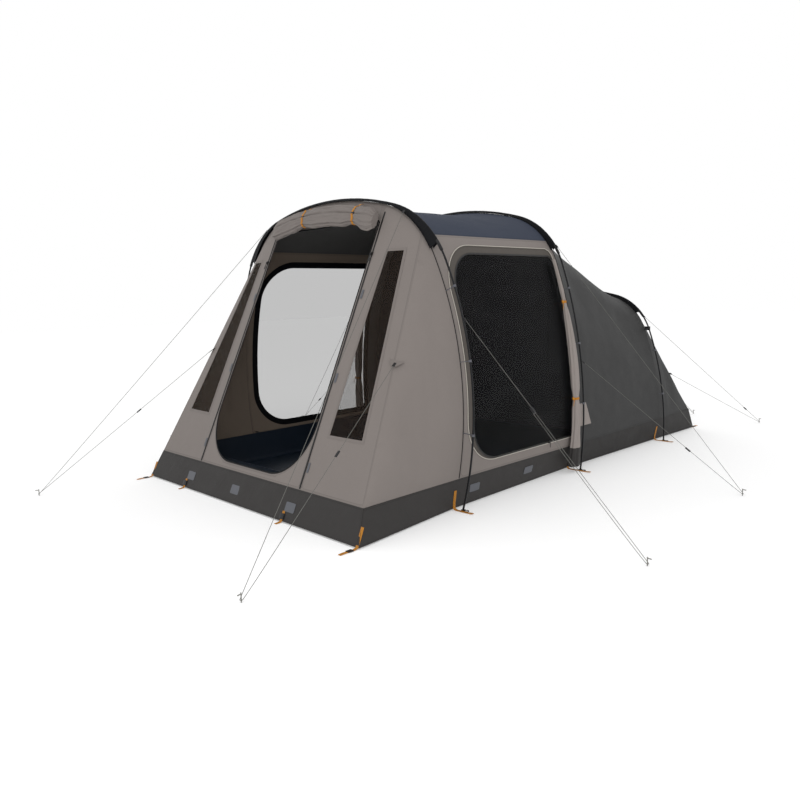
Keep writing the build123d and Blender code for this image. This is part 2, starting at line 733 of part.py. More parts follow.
def buckles():
    """Ladder-lock buckles on the corner straps: a frame with two bars."""
    made = []
    for front, half in ((True, HEM_HALF[0]), (False, HEM_HALF[-1])):
        y = end_line(front)[1]
        out = -1 if front else 1
        frame = Box(30, 36, 5) - Pos(0, 8, 0) * Box(22, 9, 6) - Pos(0, -8, 0) * Box(22, 9, 6)
        made.extend(both(Pos(half - 12, y + out * 50, STRAP_T + 2.5 + SEAM / 2) * frame))
    write("strap_buckles", *made)


# --- Guy lines ---------------------------------------------------------------------
def toward(a, b):
    return (b - a).normalized()


def wrap(points):
    """A taut route with each corner as round as its shorter run allows, its radii and tops."""
    made = []
    tops = []
    cursor = points[0]
    radii = []
    for a, b, c in zip(points, points[1:], points[2:]):
        u, v = toward(a, b), toward(b, c)
        turn = acos(u.dot(v))
        cut = 0.45 * min((b - a).length, (c - b).length)
        radii.append(cut / tan(turn / 2))
        p, q = b - u * cut, b + v * cut
        middle = b + (v - u).normalized() * (radii[-1] / cos(turn / 2) - radii[-1])
        made.append(Edge.make_line(cursor, p))
        made.append(Edge.make_three_point_arc(p, middle, q))
        tops.append(middle)
        cursor = q
    made.append(Edge.make_line(cursor, points[-1]))
    return Wire(made), radii, tops


def guy_lines():
    tabs = []
    pegs = []
    for name, (points, peg, share, faces) in GUYS.items():
        route = [Vector(*p) for p in points]
        down = toward(route[0], route[1])
        tabs.append(tab(route[0] - down * TAB_L, down, Vector(*faces[0])))
        if len(faces) > 1:
            low_down = toward(route[-1], route[-2])
            tabs.append(tab(route[-1] - low_down * TAB_L, low_down, Vector(*faces[1])))
        path, radii, tops = wrap(route)
        print(name, "guy: radii", [round(r, 1) for r in radii], "length", round(path.length))
        cord = sweep_tube(path, CORD_D / 2)
        print("  volume share", round(cord.volume / (pi * CORD_D**2 / 4 * path.length), 4))
        write(f"right_{name}_guy", cord)
        write(f"left_{name}_guy", mirrored(cord))
        if name != "back":
            on_lower = name in ("front", "side")
            first, second = (route[-1], route[-2]) if on_lower else (route[0], route[1])
            axis = toward(second, first)
            body = tensioner(first + (second - first) * share, axis, len(faces) == 1)
            write(f"right_{name}_tensioner", body)
            write(f"left_{name}_tensioner", mirrored(body))
            print("  slide axis", [round(v, 5) for v in axis])
        pegs.extend(both(ground_peg(peg, tops[1])))
    write("guy_tabs", *[s for t in tabs for s in both(t)])
    write("guy_pegs", *pegs)


def tab(point, along, normal):
    """A short tab that the cord is tied to, flat against what carries it."""
    x_dir = (normal - along * normal.dot(along)).normalized()
    body = Pos(0, 0, TAB_L / 2) * Box(TAB_T, TAB_W, TAB_L - SEAM)
    return Plane(origin=point, x_dir=x_dir, z_dir=along) * body


def under(along):
    """The direction square to a sloping cord that points most nearly down."""
    down = Vector(0, 0, -1)
    return (down - along * down.dot(along)).normalized()


def tensioner(point, along, doubled):
    """A plastic slider that grips the cord where it passes through."""
    length, width, thick = TENSIONER
    extra = DOUBLED if doubled else 0
    body = fillet(Box(thick + extra, width, length).edges().filter_by(Axis.Z), 3)
    bore = Cylinder(CORD_D / 2 + TENSIONER_GAP, length + 2)
    return Plane(origin=point, x_dir=under(along), z_dir=along) * (Pos(extra / 2, 0, 0) * body - bore)


def ground_peg(peg, top):
    """The part of a hooked peg that stays above the ground, inside its cord's loop."""
    away = Vector(top.X - peg[0], top.Y - peg[1], 0).normalized()
    centre = Vector(top.X, top.Y, 0) - away * (PEG_D / 2 + CORD_D / 2 + PEG_GAP)
    shank = Pos(centre.X, centre.Y, PEG_H / 2) * Cylinder(PEG_D / 2, PEG_H)
    hook_at = centre + Vector(0, 0, PEG_H - PEG_D) - away * 1.5
    hook = Plane(origin=hook_at, z_dir=away) * Cylinder(
        PEG_D / 2, PEG_HOOK, align=(Align.CENTER, Align.CENTER, Align.MIN)
    )
    return shank + hook


# --- Zip sliders -------------------------------------------------------------------
def slider_body():
    """A zip slider that straddles the zip; Z runs along it and X points outward."""
    body = Box(SLIDER_T, SLIDER_W, SLIDER_L)
    body = fillet(body.edges().filter_by(Axis.X), 3)
    body -= Pos(-SLIDER_T / 2, 0, 0) * Box(2 * CHANNEL, ZIP_W + 3.6, SLIDER_L + 2)
    for side in SIDES:
        body += Pos(SLIDER_T / 2 + 2.5, side * 4.4, 0) * Box(6, 2.4, 6)
    pin = Pos(SLIDER_T / 2 + 3.6, 0, 0) * Rot(90, 0, 0) * Cylinder(1.0, 8.8)
    return body + pin


def puller_body():
    """A pull tab that hangs from the slider's pin."""
    eye = Rot(90, 0, 0) * (Cylinder(2.3, 5.4) - Cylinder(1.3, 6))
    tongue = Pos(0, 0, -PULLER_L / 2 - 1.9) * Box(2.2, 5.4, PULLER_L)
    grip = Pos(0, 0, -PULLER_L - 2) * fillet(Box(3, 11, 26).edges().filter_by(Axis.X), 4)
    return eye + tongue + grip


def front_sliders():
    arch = CLOTHS[0]
    y_low = end_line(True)[0]
    top = arch.point(arch.angle_at_x(ZIP_INNER), 0)
    high = Vector(ZIP_X, top.Y - SEAM, top.Z)
    low = Vector(ZIP_X, y_low, BAND_TOP + SEAM + SLOPED)
    along = toward(low, high)
    out = Vector(0, -along.Z, along.Y)
    share = (FRONT_SLIDER_Z - low.Z) / (high.Z - low.Z)
    on_line = low + (high - low) * share
    tape_top = (SEAM + 2 * ZIP_T) * out.Z
    middle = on_line + out * (tape_top + 1.5 * SEAM - CHANNEL + SLIDER_T / 2)
    spot = Plane(origin=middle, x_dir=out, z_dir=along)
    slider = spot * slider_body()
    pin = middle + out * (SLIDER_T / 2 + 3.6)
    puller = Plane(origin=pin, x_dir=out, z_dir=along) * puller_body()
    print("front slider axis", [round(v, 5) for v in along], "pin", [round(v, 2) for v in pin])
    for name, shape in (("slider", slider), ("puller", puller)):
        write(f"right_front_{name}", shape)
        write(f"left_front_{name}", mirrored(shape))


def side_sliders():
    """Sliders on the level run of each side door's zip, with a fixed cord puller."""
    y = Y_POLES[1] - SIDE_TO - SIDE_CORNER - 60
    z = SIDE_BOTTOM - (BINDING + 0.5) / 2
    ends = []
    for arch in CLOTHS[:2]:
        at = arch.point(arch.angle_at_height(z))
        ends.append(at)
    share = (y - ends[0].Y) / (ends[1].Y - ends[0].Y)
    on_line = ends[0] + (ends[1] - ends[0]) * share
    along = toward(ends[0], ends[1])
    out = Vector(along.Y, -along.X, 0).normalized()
    middle = on_line + out * (SEAM / 2 + ZIP_T + 1.1 + 2.4)
    spot = Plane(origin=middle, x_dir=out, z_dir=along)
    body = Box(4.8, SLIDER_W - 3, SLIDER_L)
    body = fillet(body.edges().filter_by(Axis.X), 3)
    tail = Pos(4.4, 0, 0) * Box(5, 5, 5)
    cord = Box(2.4, 5, 40)
    placed = spot * (body + tail)
    drop = Pos(*(middle + out * 7.6 + Vector(0, 0, -19))) * Rot(0, 0, degrees(atan2(out.Y, out.X))) * cord
    slider = placed + drop
    print("side slider axis", [round(v, 5) for v in along], "at", [round(v, 2) for v in middle])
    write("right_side_slider", slider)
    write("left_side_slider", mirrored(slider))


# --- Build -------------------------------------------------------------------------
def main():
    os.makedirs("parts", exist_ok=True)
    poles()
    feet()
    sleeves()
    side_walls()
    bedroom()
    loops = inner_tent()
    write("end_gussets", *front_end(), *rear_end())
    skirts()
    rolls()
    write("inner_fastenings", *groundsheet(), *loops)
    clips()
    straps()
    buckles()
    guy_lines()
    front_sliders()
    side_sliders()


main()
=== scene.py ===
"""Family tunnel tent: cloth, webbing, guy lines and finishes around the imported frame.

Metres. X runs across the tent, Y from the front hem to the rear hem and Z up.
"""

from math import asin, atan2, cos, pi, sin, sqrt

import bmesh
import bpy
import numpy as np
from bpy.props import FloatProperty, FloatVectorProperty, PointerProperty
from mathutils import Matrix, Vector, noise
from mathutils.geometry import delaunay_2d_cdt


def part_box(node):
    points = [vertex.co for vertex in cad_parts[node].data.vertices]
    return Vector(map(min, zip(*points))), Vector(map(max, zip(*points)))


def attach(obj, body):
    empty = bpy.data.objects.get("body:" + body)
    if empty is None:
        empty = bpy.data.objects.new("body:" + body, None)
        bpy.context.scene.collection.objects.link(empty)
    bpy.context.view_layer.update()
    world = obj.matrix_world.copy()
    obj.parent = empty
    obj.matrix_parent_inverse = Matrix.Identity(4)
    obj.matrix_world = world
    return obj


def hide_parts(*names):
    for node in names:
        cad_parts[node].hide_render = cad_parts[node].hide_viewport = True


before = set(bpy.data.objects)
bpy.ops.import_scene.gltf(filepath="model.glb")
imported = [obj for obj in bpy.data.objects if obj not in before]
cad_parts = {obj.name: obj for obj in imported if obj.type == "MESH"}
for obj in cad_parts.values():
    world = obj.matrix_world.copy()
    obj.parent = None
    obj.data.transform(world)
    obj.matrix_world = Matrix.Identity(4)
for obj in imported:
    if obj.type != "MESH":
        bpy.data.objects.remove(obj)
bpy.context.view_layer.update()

bl_info = {
    "name": "Tunnel tent",
    "version": (1, 0, 0),
    "blender": (4, 5, 0),
    "location": "3D View > Sidebar > Tent",
    "description": "Builds the cloth, webbing and guy lines of a three-pole tunnel tent",
    "category": "Object",
}

FRONT_HEM, REAR_HEM = -2.1905, 2.1905
FRONT_SKIRT_TOP, REAR_SKIRT_TOP = -2.1015, 2.0835
SKIRT_Z = 0.2
CORNER_HALF, REAR_HALF = 1.2, 1.17
WALL_TOP, REAR_WALL_TOP = 1.75, 1.215
ZIP_X = 0.605
HEM_HALF = (1.25, 1.16, 1.125, 1.15, 1.168)
SIDES = {"right": 1, "left": -1}
FRONT_TIES = (-0.165, 0.395)  # across the tent
SIDE_TIES = (1.284, 0.566)  # heights
KEEPER_Z = 1.012  # height of the loop that holds the rear pole to the cloth
CELL_GAP = 0.06  # the bedroom cell hangs this far inside the outer cloth
TRAY_EDGE = 1.0705  # half-width of the groundsheet's raised edge at its loops
HEM_LOOPS = (-0.717, 0.521)  # across the front hem
WEAVE, FINE_WEAVE = 0.004, 0.003  # drawn spacing of threads
WAVE_SPACING = 0.314  # metres between the bands of a wave texture at scale 1
FOLD_SHADE = 0.35  # how strongly a felled edge and its stitching show


class Arch:
    """A three-centred arch. A place on it is named by the angle of its outward normal."""

    def __init__(self, y, leg, shoulder, roof, low, high, seam_z):
        self.y, self.circles, self.low, self.high = y, (leg, shoulder, roof), low, high
        self.marks = [self.angle(0.2004), low, self.angle(seam_z), high, pi / 2]

    def circle(self, angle):
        return self.circles[(angle > self.low) + (angle > self.high)]

    def point(self, angle, out=0.0):
        side = 1
        if angle > pi / 2:
            angle, side = pi - angle, -1
        x, z, r = self.circle(angle)
        return Vector((side * (x + (r + out) * cos(angle)), self.y, z + (r + out) * sin(angle)))

    def angle(self, z, out=0.0):
        """The angle on the right half at a height."""
        low, high = -0.4, pi / 2
        for _ in range(40):
            middle = (low + high) / 2
            if self.point(middle, out).z < z:
                low = middle
            else:
                high = middle
        return low

    def at(self, t, out=0.0):
        """0 is the skirt top, 1 the shoulder, 2 the roof seam, 4 the crown and 8 the far skirt."""
        far = t > 4
        t = 8 - t if far else t
        step = min(int(t), 3)
        a, b = self.marks[step : step + 2]
        angle = a + (b - a) * (t - step)
        return self.point(pi - angle if far else angle, out)


CLOTH = (
    Arch(-1.2925, (-0.945, 0.659, 2.183), (0.4107, 1.3194, 0.675), (0, -0.468, 2.509), 0.4533, 1.3449, 1.75),
    Arch(0.0605, (-2.274, 0.451, 3.486), (0.4761, 1.4053, 0.575), (0, -0.402, 2.444), 0.334, 1.3132, 1.75),
    Arch(1.4465, (-1.434, 0.123, 2.626), (0.6165, 0.867, 0.4447), (0, -1.737, 3.1207), 0.3481, 1.3383, 1.215),
)
POLES = (
    Arch(-1.2925, (-0.862, 0.659, 2.183), (0.4825, 1.2848, 0.7), (0, -0.468, 2.518), 0.4356, 1.3022, 1.69),
    Arch(0.0605, (-2.226, 0.451, 3.486), (0.5062, 1.3805, 0.6), (0, -0.402, 2.453), 0.3279, 1.2941, 1.7),
    Arch(1.4465, (-1.394, 0.123, 2.626), (0.6257, 0.8484, 0.48), (0, -1.737, 3.14), 0.3448, 1.3333, 1.17),
)


# --- Sizes and colours -----------------------------------------------------------------
def linear(text):
    """An sRGB hex value as linear colour."""
    parts = [int(text[i : i + 2], 16) / 255 for i in (1, 3, 5)]
    return [c / 12.92 if c <= 0.04045 else ((c + 0.055) / 1.055) ** 2.4 for c in parts]


def size(name, text, value):
    return FloatProperty(name=name, description=text, default=value, min=0.0, unit="LENGTH")


def colour(name, text, value):
    return FloatVectorProperty(
        name=name, description=text, default=linear(value), min=0, max=1, size=3, subtype="COLOR"
    )


class TentSizes(bpy.types.PropertyGroup):
    cloth: size("Cloth thickness", "Thickness of the outer cloth with its coating", 0.0012)
    step: size("Panel detail", "Spacing of the points on the large panels", 0.028)
    slack: size("Slack", "How deep the soft ripples of the end and side panels are", 0.011)
    facing: size("Door facing", "Width of the dark facing round each side door", 0.062)
    binding: size("Inner binding", "Width of the black binding inside each side door", 0.05)
    piping: size("Piping", "Diameter of the piping along the door facing", 0.006)
    roll_thick: size("Rolled door depth", "Front to back size of the rolled front door", 0.074)
    roll_high: size("Rolled door height", "Height of the rolled front door along the slope", 0.142)
    strap: size("Strap width", "Width of the pegging straps", 0.024)
    guy: size("Guy diameter", "Diameter of the guy lines", 0.003)
    patch: size("Patch size", "Side of the reflective patches on the skirt", 0.055)


class TentColours(bpy.types.PropertyGroup):
    wall: colour("Wall cloth", "Taupe polyester of the living area", "#7c7571")
    roof: colour("Roof cloth", "Blue-grey polyester of the living area's roof", "#3f4450")
    bedroom: colour("Bedroom cloth", "Dark grey polyester over the bedroom", "#393939")
    skirt: colour("Skirt", "Coated skirt along the ground", "#343231")
    facing: colour("Facing", "Grey-taupe facing round the side doors", "#4e4944")
    lining: colour("Lining", "Inside face of the living area's cloth", "#796d62")
    ceiling: colour("Ceiling", "Inside face of the roofs", "#4f4e4d")
    sleeve: colour("Sleeve", "Black woven pole sleeves and bindings", "#0d0e11")
    ground: colour("Groundsheet", "Dark blue-black groundsheet", "#1b2430")
    inner: colour("Inner tent", "Breathable cloth of the bedroom cell", "#151518")
    orange: colour("Webbing", "Orange webbing of the straps and ties", "#b97a1c")
    guy: colour("Guy line", "Grey reflective guy lines", "#666661")
    patch: colour("Patch", "Reflective patches", "#515359")


# --- Finishes --------------------------------------------------------------------------
def add_node(tree, kind, settings=None, links=None):
    """A node with its settings and incoming links."""
    node = tree.nodes.new(kind)
    for key, value in (settings or {}).items():
        if isinstance(key, int) or key in node.inputs:
            node.inputs[key].default_value = value
        else:
            setattr(node, key, value)
    for key, source in (links or {}).items():
        tree.links.new(source, node.inputs[key])
    return node


def new_finish(name):
    made = bpy.data.materials.new(name)
    made.use_nodes = True
    made.node_tree.nodes.clear()
    return made, made.node_tree


def shaded(rgb, by):
    return [min(1.0, c * by) for c in rgb] + [1.0]


def woven(name, rgb, rough, weave, sheen=0.15, uneven=0.06, seam=0.7, specular=0.4):
    """Woven cloth: threads, cloudy unevenness, small creases, and a felled edge with its stitching.

    The threads are drawn a few millimetres apart, because real ones are too fine to show.
    """
    made, tree = new_finish(name)
    uv = add_node(tree, "ShaderNodeTexCoord").outputs["UV"]
    cloud = add_node(tree, "ShaderNodeTexNoise", {"Scale": 2.3, "Detail": 4.0}, {"Vector": uv})
    crumple = add_node(
        tree, "ShaderNodeTexNoise", {"Scale": 13.0, "Detail": 5.0, "Distortion": 0.8}, {"Vector": uv}
    )
    pitch = WAVE_SPACING / weave
    warp = add_node(tree, "ShaderNodeTexWave", {"Scale": pitch, "Distortion": 0.6}, {"Vector": uv})
    weft = add_node(
        tree, "ShaderNodeTexWave",
        {"bands_direction": "Y", "Scale": pitch, "Distortion": 0.6}, {"Vector": uv},
    )
    threads = add_node(
        tree, "ShaderNodeMath", {"operation": "MULTIPLY"},
        {0: warp.outputs["Fac"], 1: weft.outputs["Fac"]},
    )
    edge = add_node(tree, "ShaderNodeAttribute", {"attribute_name": "edge"}).outputs["Fac"]
    fell = add_node(
        tree, "ShaderNodeMapRange",
        {"From Min": 0.012, "From Max": 0.016, "To Min": 1.0, "To Max": 0.0}, {"Value": edge},
    )
    stitch = add_node(
        tree, "ShaderNodeMath", {"operation": "COMPARE", 1: 0.0115, 2: 0.0014}, {0: edge}
    )
    base = add_node(
        tree, "ShaderNodeMix",
        {"data_type": "RGBA", 6: shaded(rgb, 1 - uneven), 7: shaded(rgb, 1 + uneven)},
        {0: cloud.outputs["Fac"]},
    )
    grain = add_node(
        tree, "ShaderNodeMix", {"data_type": "RGBA", "blend_type": "MULTIPLY", 0: 0.1},
        {6: base.outputs[2], 7: threads.outputs[0]},
    )
    layered = grain
    for mark, shade in ((fell, seam), (stitch, seam * 0.6)):
        faint = add_node(
            tree, "ShaderNodeMath", {"operation": "MULTIPLY", 1: FOLD_SHADE}, {0: mark.outputs[0]}
        )
        layered = add_node(
            tree, "ShaderNodeMix", {"data_type": "RGBA", 7: shaded(rgb, shade)},
            {0: faint.outputs[0], 6: layered.outputs[2]},
        )
    relief = add_node(
        tree, "ShaderNodeMath", {"operation": "MULTIPLY_ADD", 1: 0.12},
        {0: threads.outputs[0], 2: crumple.outputs["Fac"]},
    )
    raised = add_node(
        tree, "ShaderNodeMath", {"operation": "MULTIPLY_ADD", 1: 0.1},
        {0: fell.outputs[0], 2: relief.outputs[0]},
    )
    bump = add_node(
        tree, "ShaderNodeBump", {"Strength": 0.35, "Distance": 0.006}, {"Height": raised.outputs[0]}
    )
    gloss = add_node(
        tree, "ShaderNodeMapRange", {"To Min": rough - 0.06, "To Max": rough + 0.08},
        {"Value": crumple.outputs["Fac"]},
    )
    cloth = add_node(
        tree, "ShaderNodeBsdfPrincipled",
        {"IOR": 1.5, "Specular IOR Level": specular, "Sheen Weight": sheen, "Sheen Roughness": 0.5},
        {"Base Color": layered.outputs[2], "Normal": bump.outputs[0], "Roughness": gloss.outputs[0]},
    )
    add_node(tree, "ShaderNodeOutputMaterial", {}, {"Surface": cloth.outputs[0]})
    return made


def grained(
    name, rgb, rough, grain, depth, uneven=0.12, metallic=0.0, coat=0.0, specular=0.3, alpha=1.0
):
    """A moulded, drawn or coated surface: fine grain, uneven gloss and lighter rubbed places."""
    made, tree = new_finish(name)
    place = add_node(tree, "ShaderNodeTexCoord").outputs["Object"]
    fine = add_node(tree, "ShaderNodeTexNoise", {"Scale": 1 / grain, "Detail": 3.0}, {"Vector": place})
    wear = add_node(
        tree, "ShaderNodeTexNoise",
        {"Scale": 0.12 / grain, "Detail": 6.0, "Roughness": 0.7}, {"Vector": place},
    )
    base = add_node(
        tree, "ShaderNodeMix",
        {"data_type": "RGBA", 6: shaded(rgb, 1 - uneven), 7: shaded(rgb, 1 + uneven)},
        {0: wear.outputs["Fac"]},
    )
    gloss = add_node(
        tree, "ShaderNodeMapRange", {"To Min": max(0.02, rough - 0.1), "To Max": rough + 0.12},
        {"Value": wear.outputs["Fac"]},
    )
    bump = add_node(
        tree, "ShaderNodeBump", {"Strength": 0.4, "Distance": depth}, {"Height": fine.outputs["Fac"]}
    )
    body = add_node(
        tree, "ShaderNodeBsdfPrincipled",
        {"Metallic": metallic, "Specular IOR Level": specular, "Coat Weight": coat,
         "Coat Roughness": 0.2, "Alpha": alpha},
        {"Base Color": base.outputs[2], "Normal": bump.outputs[0], "Roughness": gloss.outputs[0]},
    )
    add_node(tree, "ShaderNodeOutputMaterial", {}, {"Surface": body.outputs[0]})
    return made


def ribbed(name, rgb, rough, pitch, axis, depth, coordinate, metallic=0.0, uneven=0.15):
    """Ribs at a real pitch: webbing's weft, a zip's coil or a cord's braid."""
    made, tree = new_finish(name)
    place = add_node(tree, "ShaderNodeTexCoord").outputs[coordinate]
    ribs = add_node(
        tree, "ShaderNodeTexWave",
        {"bands_direction": axis, "Scale": WAVE_SPACING / pitch, "Distortion": 0.4}, {"Vector": place},
    )
    wear = add_node(tree, "ShaderNodeTexNoise", {"Scale": 60.0, "Detail": 5.0}, {"Vector": place})
    base = add_node(
        tree, "ShaderNodeMix",
        {"data_type": "RGBA", 6: shaded(rgb, 1 - uneven), 7: shaded(rgb, 1 + uneven)},
        {0: wear.outputs["Fac"]},
    )
    # Painted shade: the colour is darkened in the grooves between the ribs
    groove_shade = add_node(
        tree, "ShaderNodeMix", {"data_type": "RGBA", "blend_type": "MULTIPLY", 0: 0.35},
        {6: base.outputs[2], 7: ribs.outputs["Fac"]},
    )
    bump = add_node(
        tree, "ShaderNodeBump", {"Strength": 0.6, "Distance": depth}, {"Height": ribs.outputs["Fac"]}
    )
    body = add_node(
        tree, "ShaderNodeBsdfPrincipled",
        {"Roughness": rough, "IOR": 1.5, "Metallic": metallic, "Specular IOR Level": 0.3},
        {"Base Color": groove_shade.outputs[2], "Normal": bump.outputs[0]},
    )
    add_node(tree, "ShaderNodeOutputMaterial", {}, {"Surface": body.outputs[0]})
    return made


def finishes(colours):
    """Every finish, named for what the real one is made of."""
    # Coated polyester with a dry, slightly fibrous face
    # Painted light: the rolled side doors wear a copy of the wall cloth made 1.45 times as light, for their
    # lit faces
    pale = [min(1.0, c * 1.45) for c in colours.wall]
    woven("wall polyester", colours.wall, 0.62, WEAVE, sheen=0.02, specular=0.15)
    woven("pale taupe polyester", pale, 0.6, WEAVE, sheen=0.02, specular=0.2)
    woven("roof polyester", colours.roof, 0.75, WEAVE, sheen=0.0, specular=0.04)
    woven("bedroom polyester", colours.bedroom, 0.62, WEAVE, sheen=0.0, specular=0.16)
    # Heavier PVC-coated skirt: smoother, with a coarser weave and a more uneven tone
    dark = shaded(colours.skirt, 0.62)[:3]
    woven("skirt oxford", colours.skirt, 0.55, 0.006, sheen=0.0, uneven=0.12, specular=0.18)
    woven("bedroom skirt oxford", dark, 0.55, 0.006, sheen=0.0, uneven=0.12, specular=0.18)
    woven("door facing", colours.facing, 0.6, WEAVE, sheen=0.0, specular=0.2)
    woven("wall lining", colours.lining, 0.7, WEAVE, sheen=0.0, specular=0.15)
    woven("ceiling lining", colours.ceiling, 0.65, WEAVE, sheen=0.0, specular=0.2)
    # Black nylon of a finer weave, with a dull sheen
    woven("sleeve nylon", colours.sleeve, 0.5, FINE_WEAVE, sheen=0.0, specular=0.12)
    # Breathable, uncoated and fully matt
    woven("inner tent cotton", colours.inner, 0.8, WEAVE, sheen=0.1, specular=0.2)
    # Woven polyethylene under a smooth coating: coarse tapes and a broad gloss
    woven("groundsheet polyethylene", colours.ground, 0.38, 0.008, sheen=0.0, uneven=0.2)
    # Knitted insect mesh: nearly black from outside, and pale against daylight from inside
    grained("insect mesh", linear("#050507"), 0.3, 0.05, 0.0003, 0.3, specular=0.12, alpha=0.27)
    # Clear PVC foil: thin, glossy and a little wavy
    grained("window foil", linear("#2c241e"), 0.5, 0.2, 0.0002, 0.1, specular=0.05, alpha=0.3)
    ribbed("orange webbing", colours.orange, 0.55, 0.0022, "Y", 0.0005, "UV")
    ribbed("black webbing", linear("#1b1b1c"), 0.6, 0.0022, "Y", 0.0005, "UV")
    # Coil zip: the coil's turns are 1.5 mm apart, drawn at 6 mm so that they show
    ribbed("zip coil", linear("#121213"), 0.42, 0.006, "Z", 0.001, "Object")
    # Braided polyester cord with a reflective fleck
    ribbed("guy cord", colours.guy, 0.5, 0.004, "DIAGONAL", 0.0004, "Object", uneven=0.3)
    # Pultruded fibreglass under black varnish: smooth with a soft highlight
    grained("fibreglass rod", linear("#0c0d10"), 0.3, 0.006, 0.0002, 0.25, coat=0.08, specular=0.2)
    grained("acetal plastic", linear("#1c1c1e"), 0.42, 0.002, 0.0003, 0.25)
    grained("grey clip plastic", linear("#55565c"), 0.45, 0.002, 0.0003, 0.2)
    grained("zinc slider", linear("#3b3a39"), 0.38, 0.003, 0.0002, 0.3, metallic=0.85)
    grained("galvanised peg", linear("#8b8a86"), 0.42, 0.004, 0.0003, 0.25, metallic=0.9)
    grained("orange toggle", colours.orange, 0.4, 0.002, 0.0002, 0.1)
    # Glass-bead reflective tape: a dull lilac grey sheen
    grained("reflective tape", colours.patch, 0.35, 0.003, 0.0003, 0.15)
    grained("pale piping", linear("#a9a49b"), 0.6, 0.003, 0.0003, 0.1)


# --- Mesh helpers ----------------------------------------------------------------------
def ripple(p, seed, across, along, up):
    """Soft noise with a different wavelength along each direction, in metres."""
    return noise.noise(Vector((p.x / across + seed, p.y / along - seed, p.z / up + 2 * seed)))


def smooth(value, width):
    t = min(1.0, max(0.0, value / width))
    return t * t * (3 - 2 * t)


def settle(piece, slot, *nodes):
    """Gives a finished piece its smooth shading and its body, and hides the frame's nodes that it stands for.
    """
    bpy.ops.object.select_all(action="DESELECT")
    piece.select_set(True)
    bpy.context.view_layer.objects.active = piece
    if piece.type == "MESH":
        bpy.ops.object.shade_smooth_by_angle(angle=0.7)
    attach(piece, "tent")
    if nodes:
        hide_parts(*nodes)
    return piece


def mesh_piece(name, points, faces, uvs, marks, finish_names, edges=None):
    """An object from points, faces, a metric UV per point and a material index per face."""
    mesh = bpy.data.meshes.new(name)
    mesh.from_pydata([tuple(p) for p in points], [], [tuple(f) for f in faces])
    layer = mesh.uv_layers.new(name="metres")
    corner = np.zeros(len(mesh.loops), dtype=np.int32)
    mesh.loops.foreach_get("vertex_index", corner)
    layer.data.foreach_set("uv", np.asarray(uvs, dtype=np.float32)[corner].ravel())
    if edges is not None:
        mesh.attributes.new("edge", "FLOAT", "POINT").data.foreach_set(
            "value", np.asarray(edges, dtype=np.float32)
        )
    for title in finish_names:
        mesh.materials.append(bpy.data.materials[title])
    mesh.polygons.foreach_set("material_index", np.asarray(marks, dtype=np.int32))
    mesh.update()
    piece = bpy.data.objects.new(name, mesh)
    bpy.context.scene.collection.objects.link(piece)
    return piece


def normals_of(points, faces):
    pts = np.asarray(points, dtype=float)
    total = np.zeros_like(pts)
    for f in faces:
        a, b, c = pts[f[0]], pts[f[1]], pts[f[2]]
        n = np.cross(b - a, c - a)
        for i in f:
            total[i] += n
    length = np.linalg.norm(total, axis=1)
    length[length == 0] = 1
    return total / length[:, None]


def thick_sheet(name, points, faces, uvs, edges, crease, finish_names, thick, centre, lift=0.0):
    """A cloth with two faces and a rim. It ripples along its normals and thickens inwards."""
    points = [Vector(p) for p in points]
    normals = normals_of(points, faces)
    middle = Vector(centre)
    turned = sum((p - middle).dot(Vector(n)) for p, n in zip(points, normals)) < 0
    if turned:
        faces = [tuple(reversed(f)) for f in faces]
        normals = -normals
    if crease or lift:
        moves = [lift + (crease(p, e) if crease else 0.0) for p, e in zip(points, edges)]
        points = [p + Vector(n) * m for p, n, m in zip(points, normals, moves)]
        normals = normals_of(points, faces)
    count = len(points)
    inner = [p - Vector(n) * thick for p, n in zip(points, normals)]
    seen = {}
    for f in faces:
        for a, b in zip(f, (*f[1:], f[0])):
            seen[(a, b)] = (b, a) not in seen
            if (b, a) in seen:
                seen[(b, a)] = seen[(a, b)] = False
    rims = [(b, a, a + count, b + count) for (a, b), alone in seen.items() if alone]
    back = [tuple(i + count for i in reversed(f)) for f in faces]
    marks = [0] * len(faces) + [1] * len(back) + [0] * len(rims)
    return mesh_piece(
        name, points + inner, [*faces, *back, *rims], [*uvs, *uvs], marks, finish_names, [*edges, *edges]
    )


def run_along(pts, axis):
    """How far each point of a grid lies along its row or column, measured on the sheet."""
    steps = np.cumsum(np.linalg.norm(np.diff(pts, axis=axis), axis=2), axis=axis)
    return np.concatenate([np.zeros_like(steps.take([0], axis=axis)), steps], axis=axis)


def grid_sheet(name, place, us, vs, crease, finish_names, thick, centre=(0, 0, 0.5), lift=0.0):
    """A sheet on a grid of two parameters, with its lengths measured on it."""
    rows = [[place(u, v) for u in us] for v in vs]
    pts = np.array([[list(p) for p in row] for row in rows])
    along, down = run_along(pts, 1), run_along(pts, 0)
    near = np.minimum(np.minimum(along, along[:, -1:] - along), np.minimum(down, down[-1:] - down))
    width = len(us)
    faces = [
        (j * width + i, j * width + i + 1, (j + 1) * width + i + 1, (j + 1) * width + i)
        for j in range(len(vs) - 1)
        for i in range(width - 1)
    ]
    uvs = np.stack([along, down], axis=2).reshape(-1, 2)
    return thick_sheet(
        name, pts.reshape(-1, 3), faces, list(uvs), list(near.ravel()), crease, finish_names, thick,
        centre, lift,
    )


def inside(points, loop):
    """Which points lie in a closed outline."""
    x, y = points[:, 0], points[:, 1]
    found = np.zeros(len(points), dtype=bool)
    for (ax, ay), (bx, by) in zip(loop, np.roll(loop, -1, axis=0)):
        if ay != by:
            cross = ((ay > y) != (by > y)) & (x < (bx - ax) * (y - ay) / (by - ay) + ax)
            found ^= cross
    return found


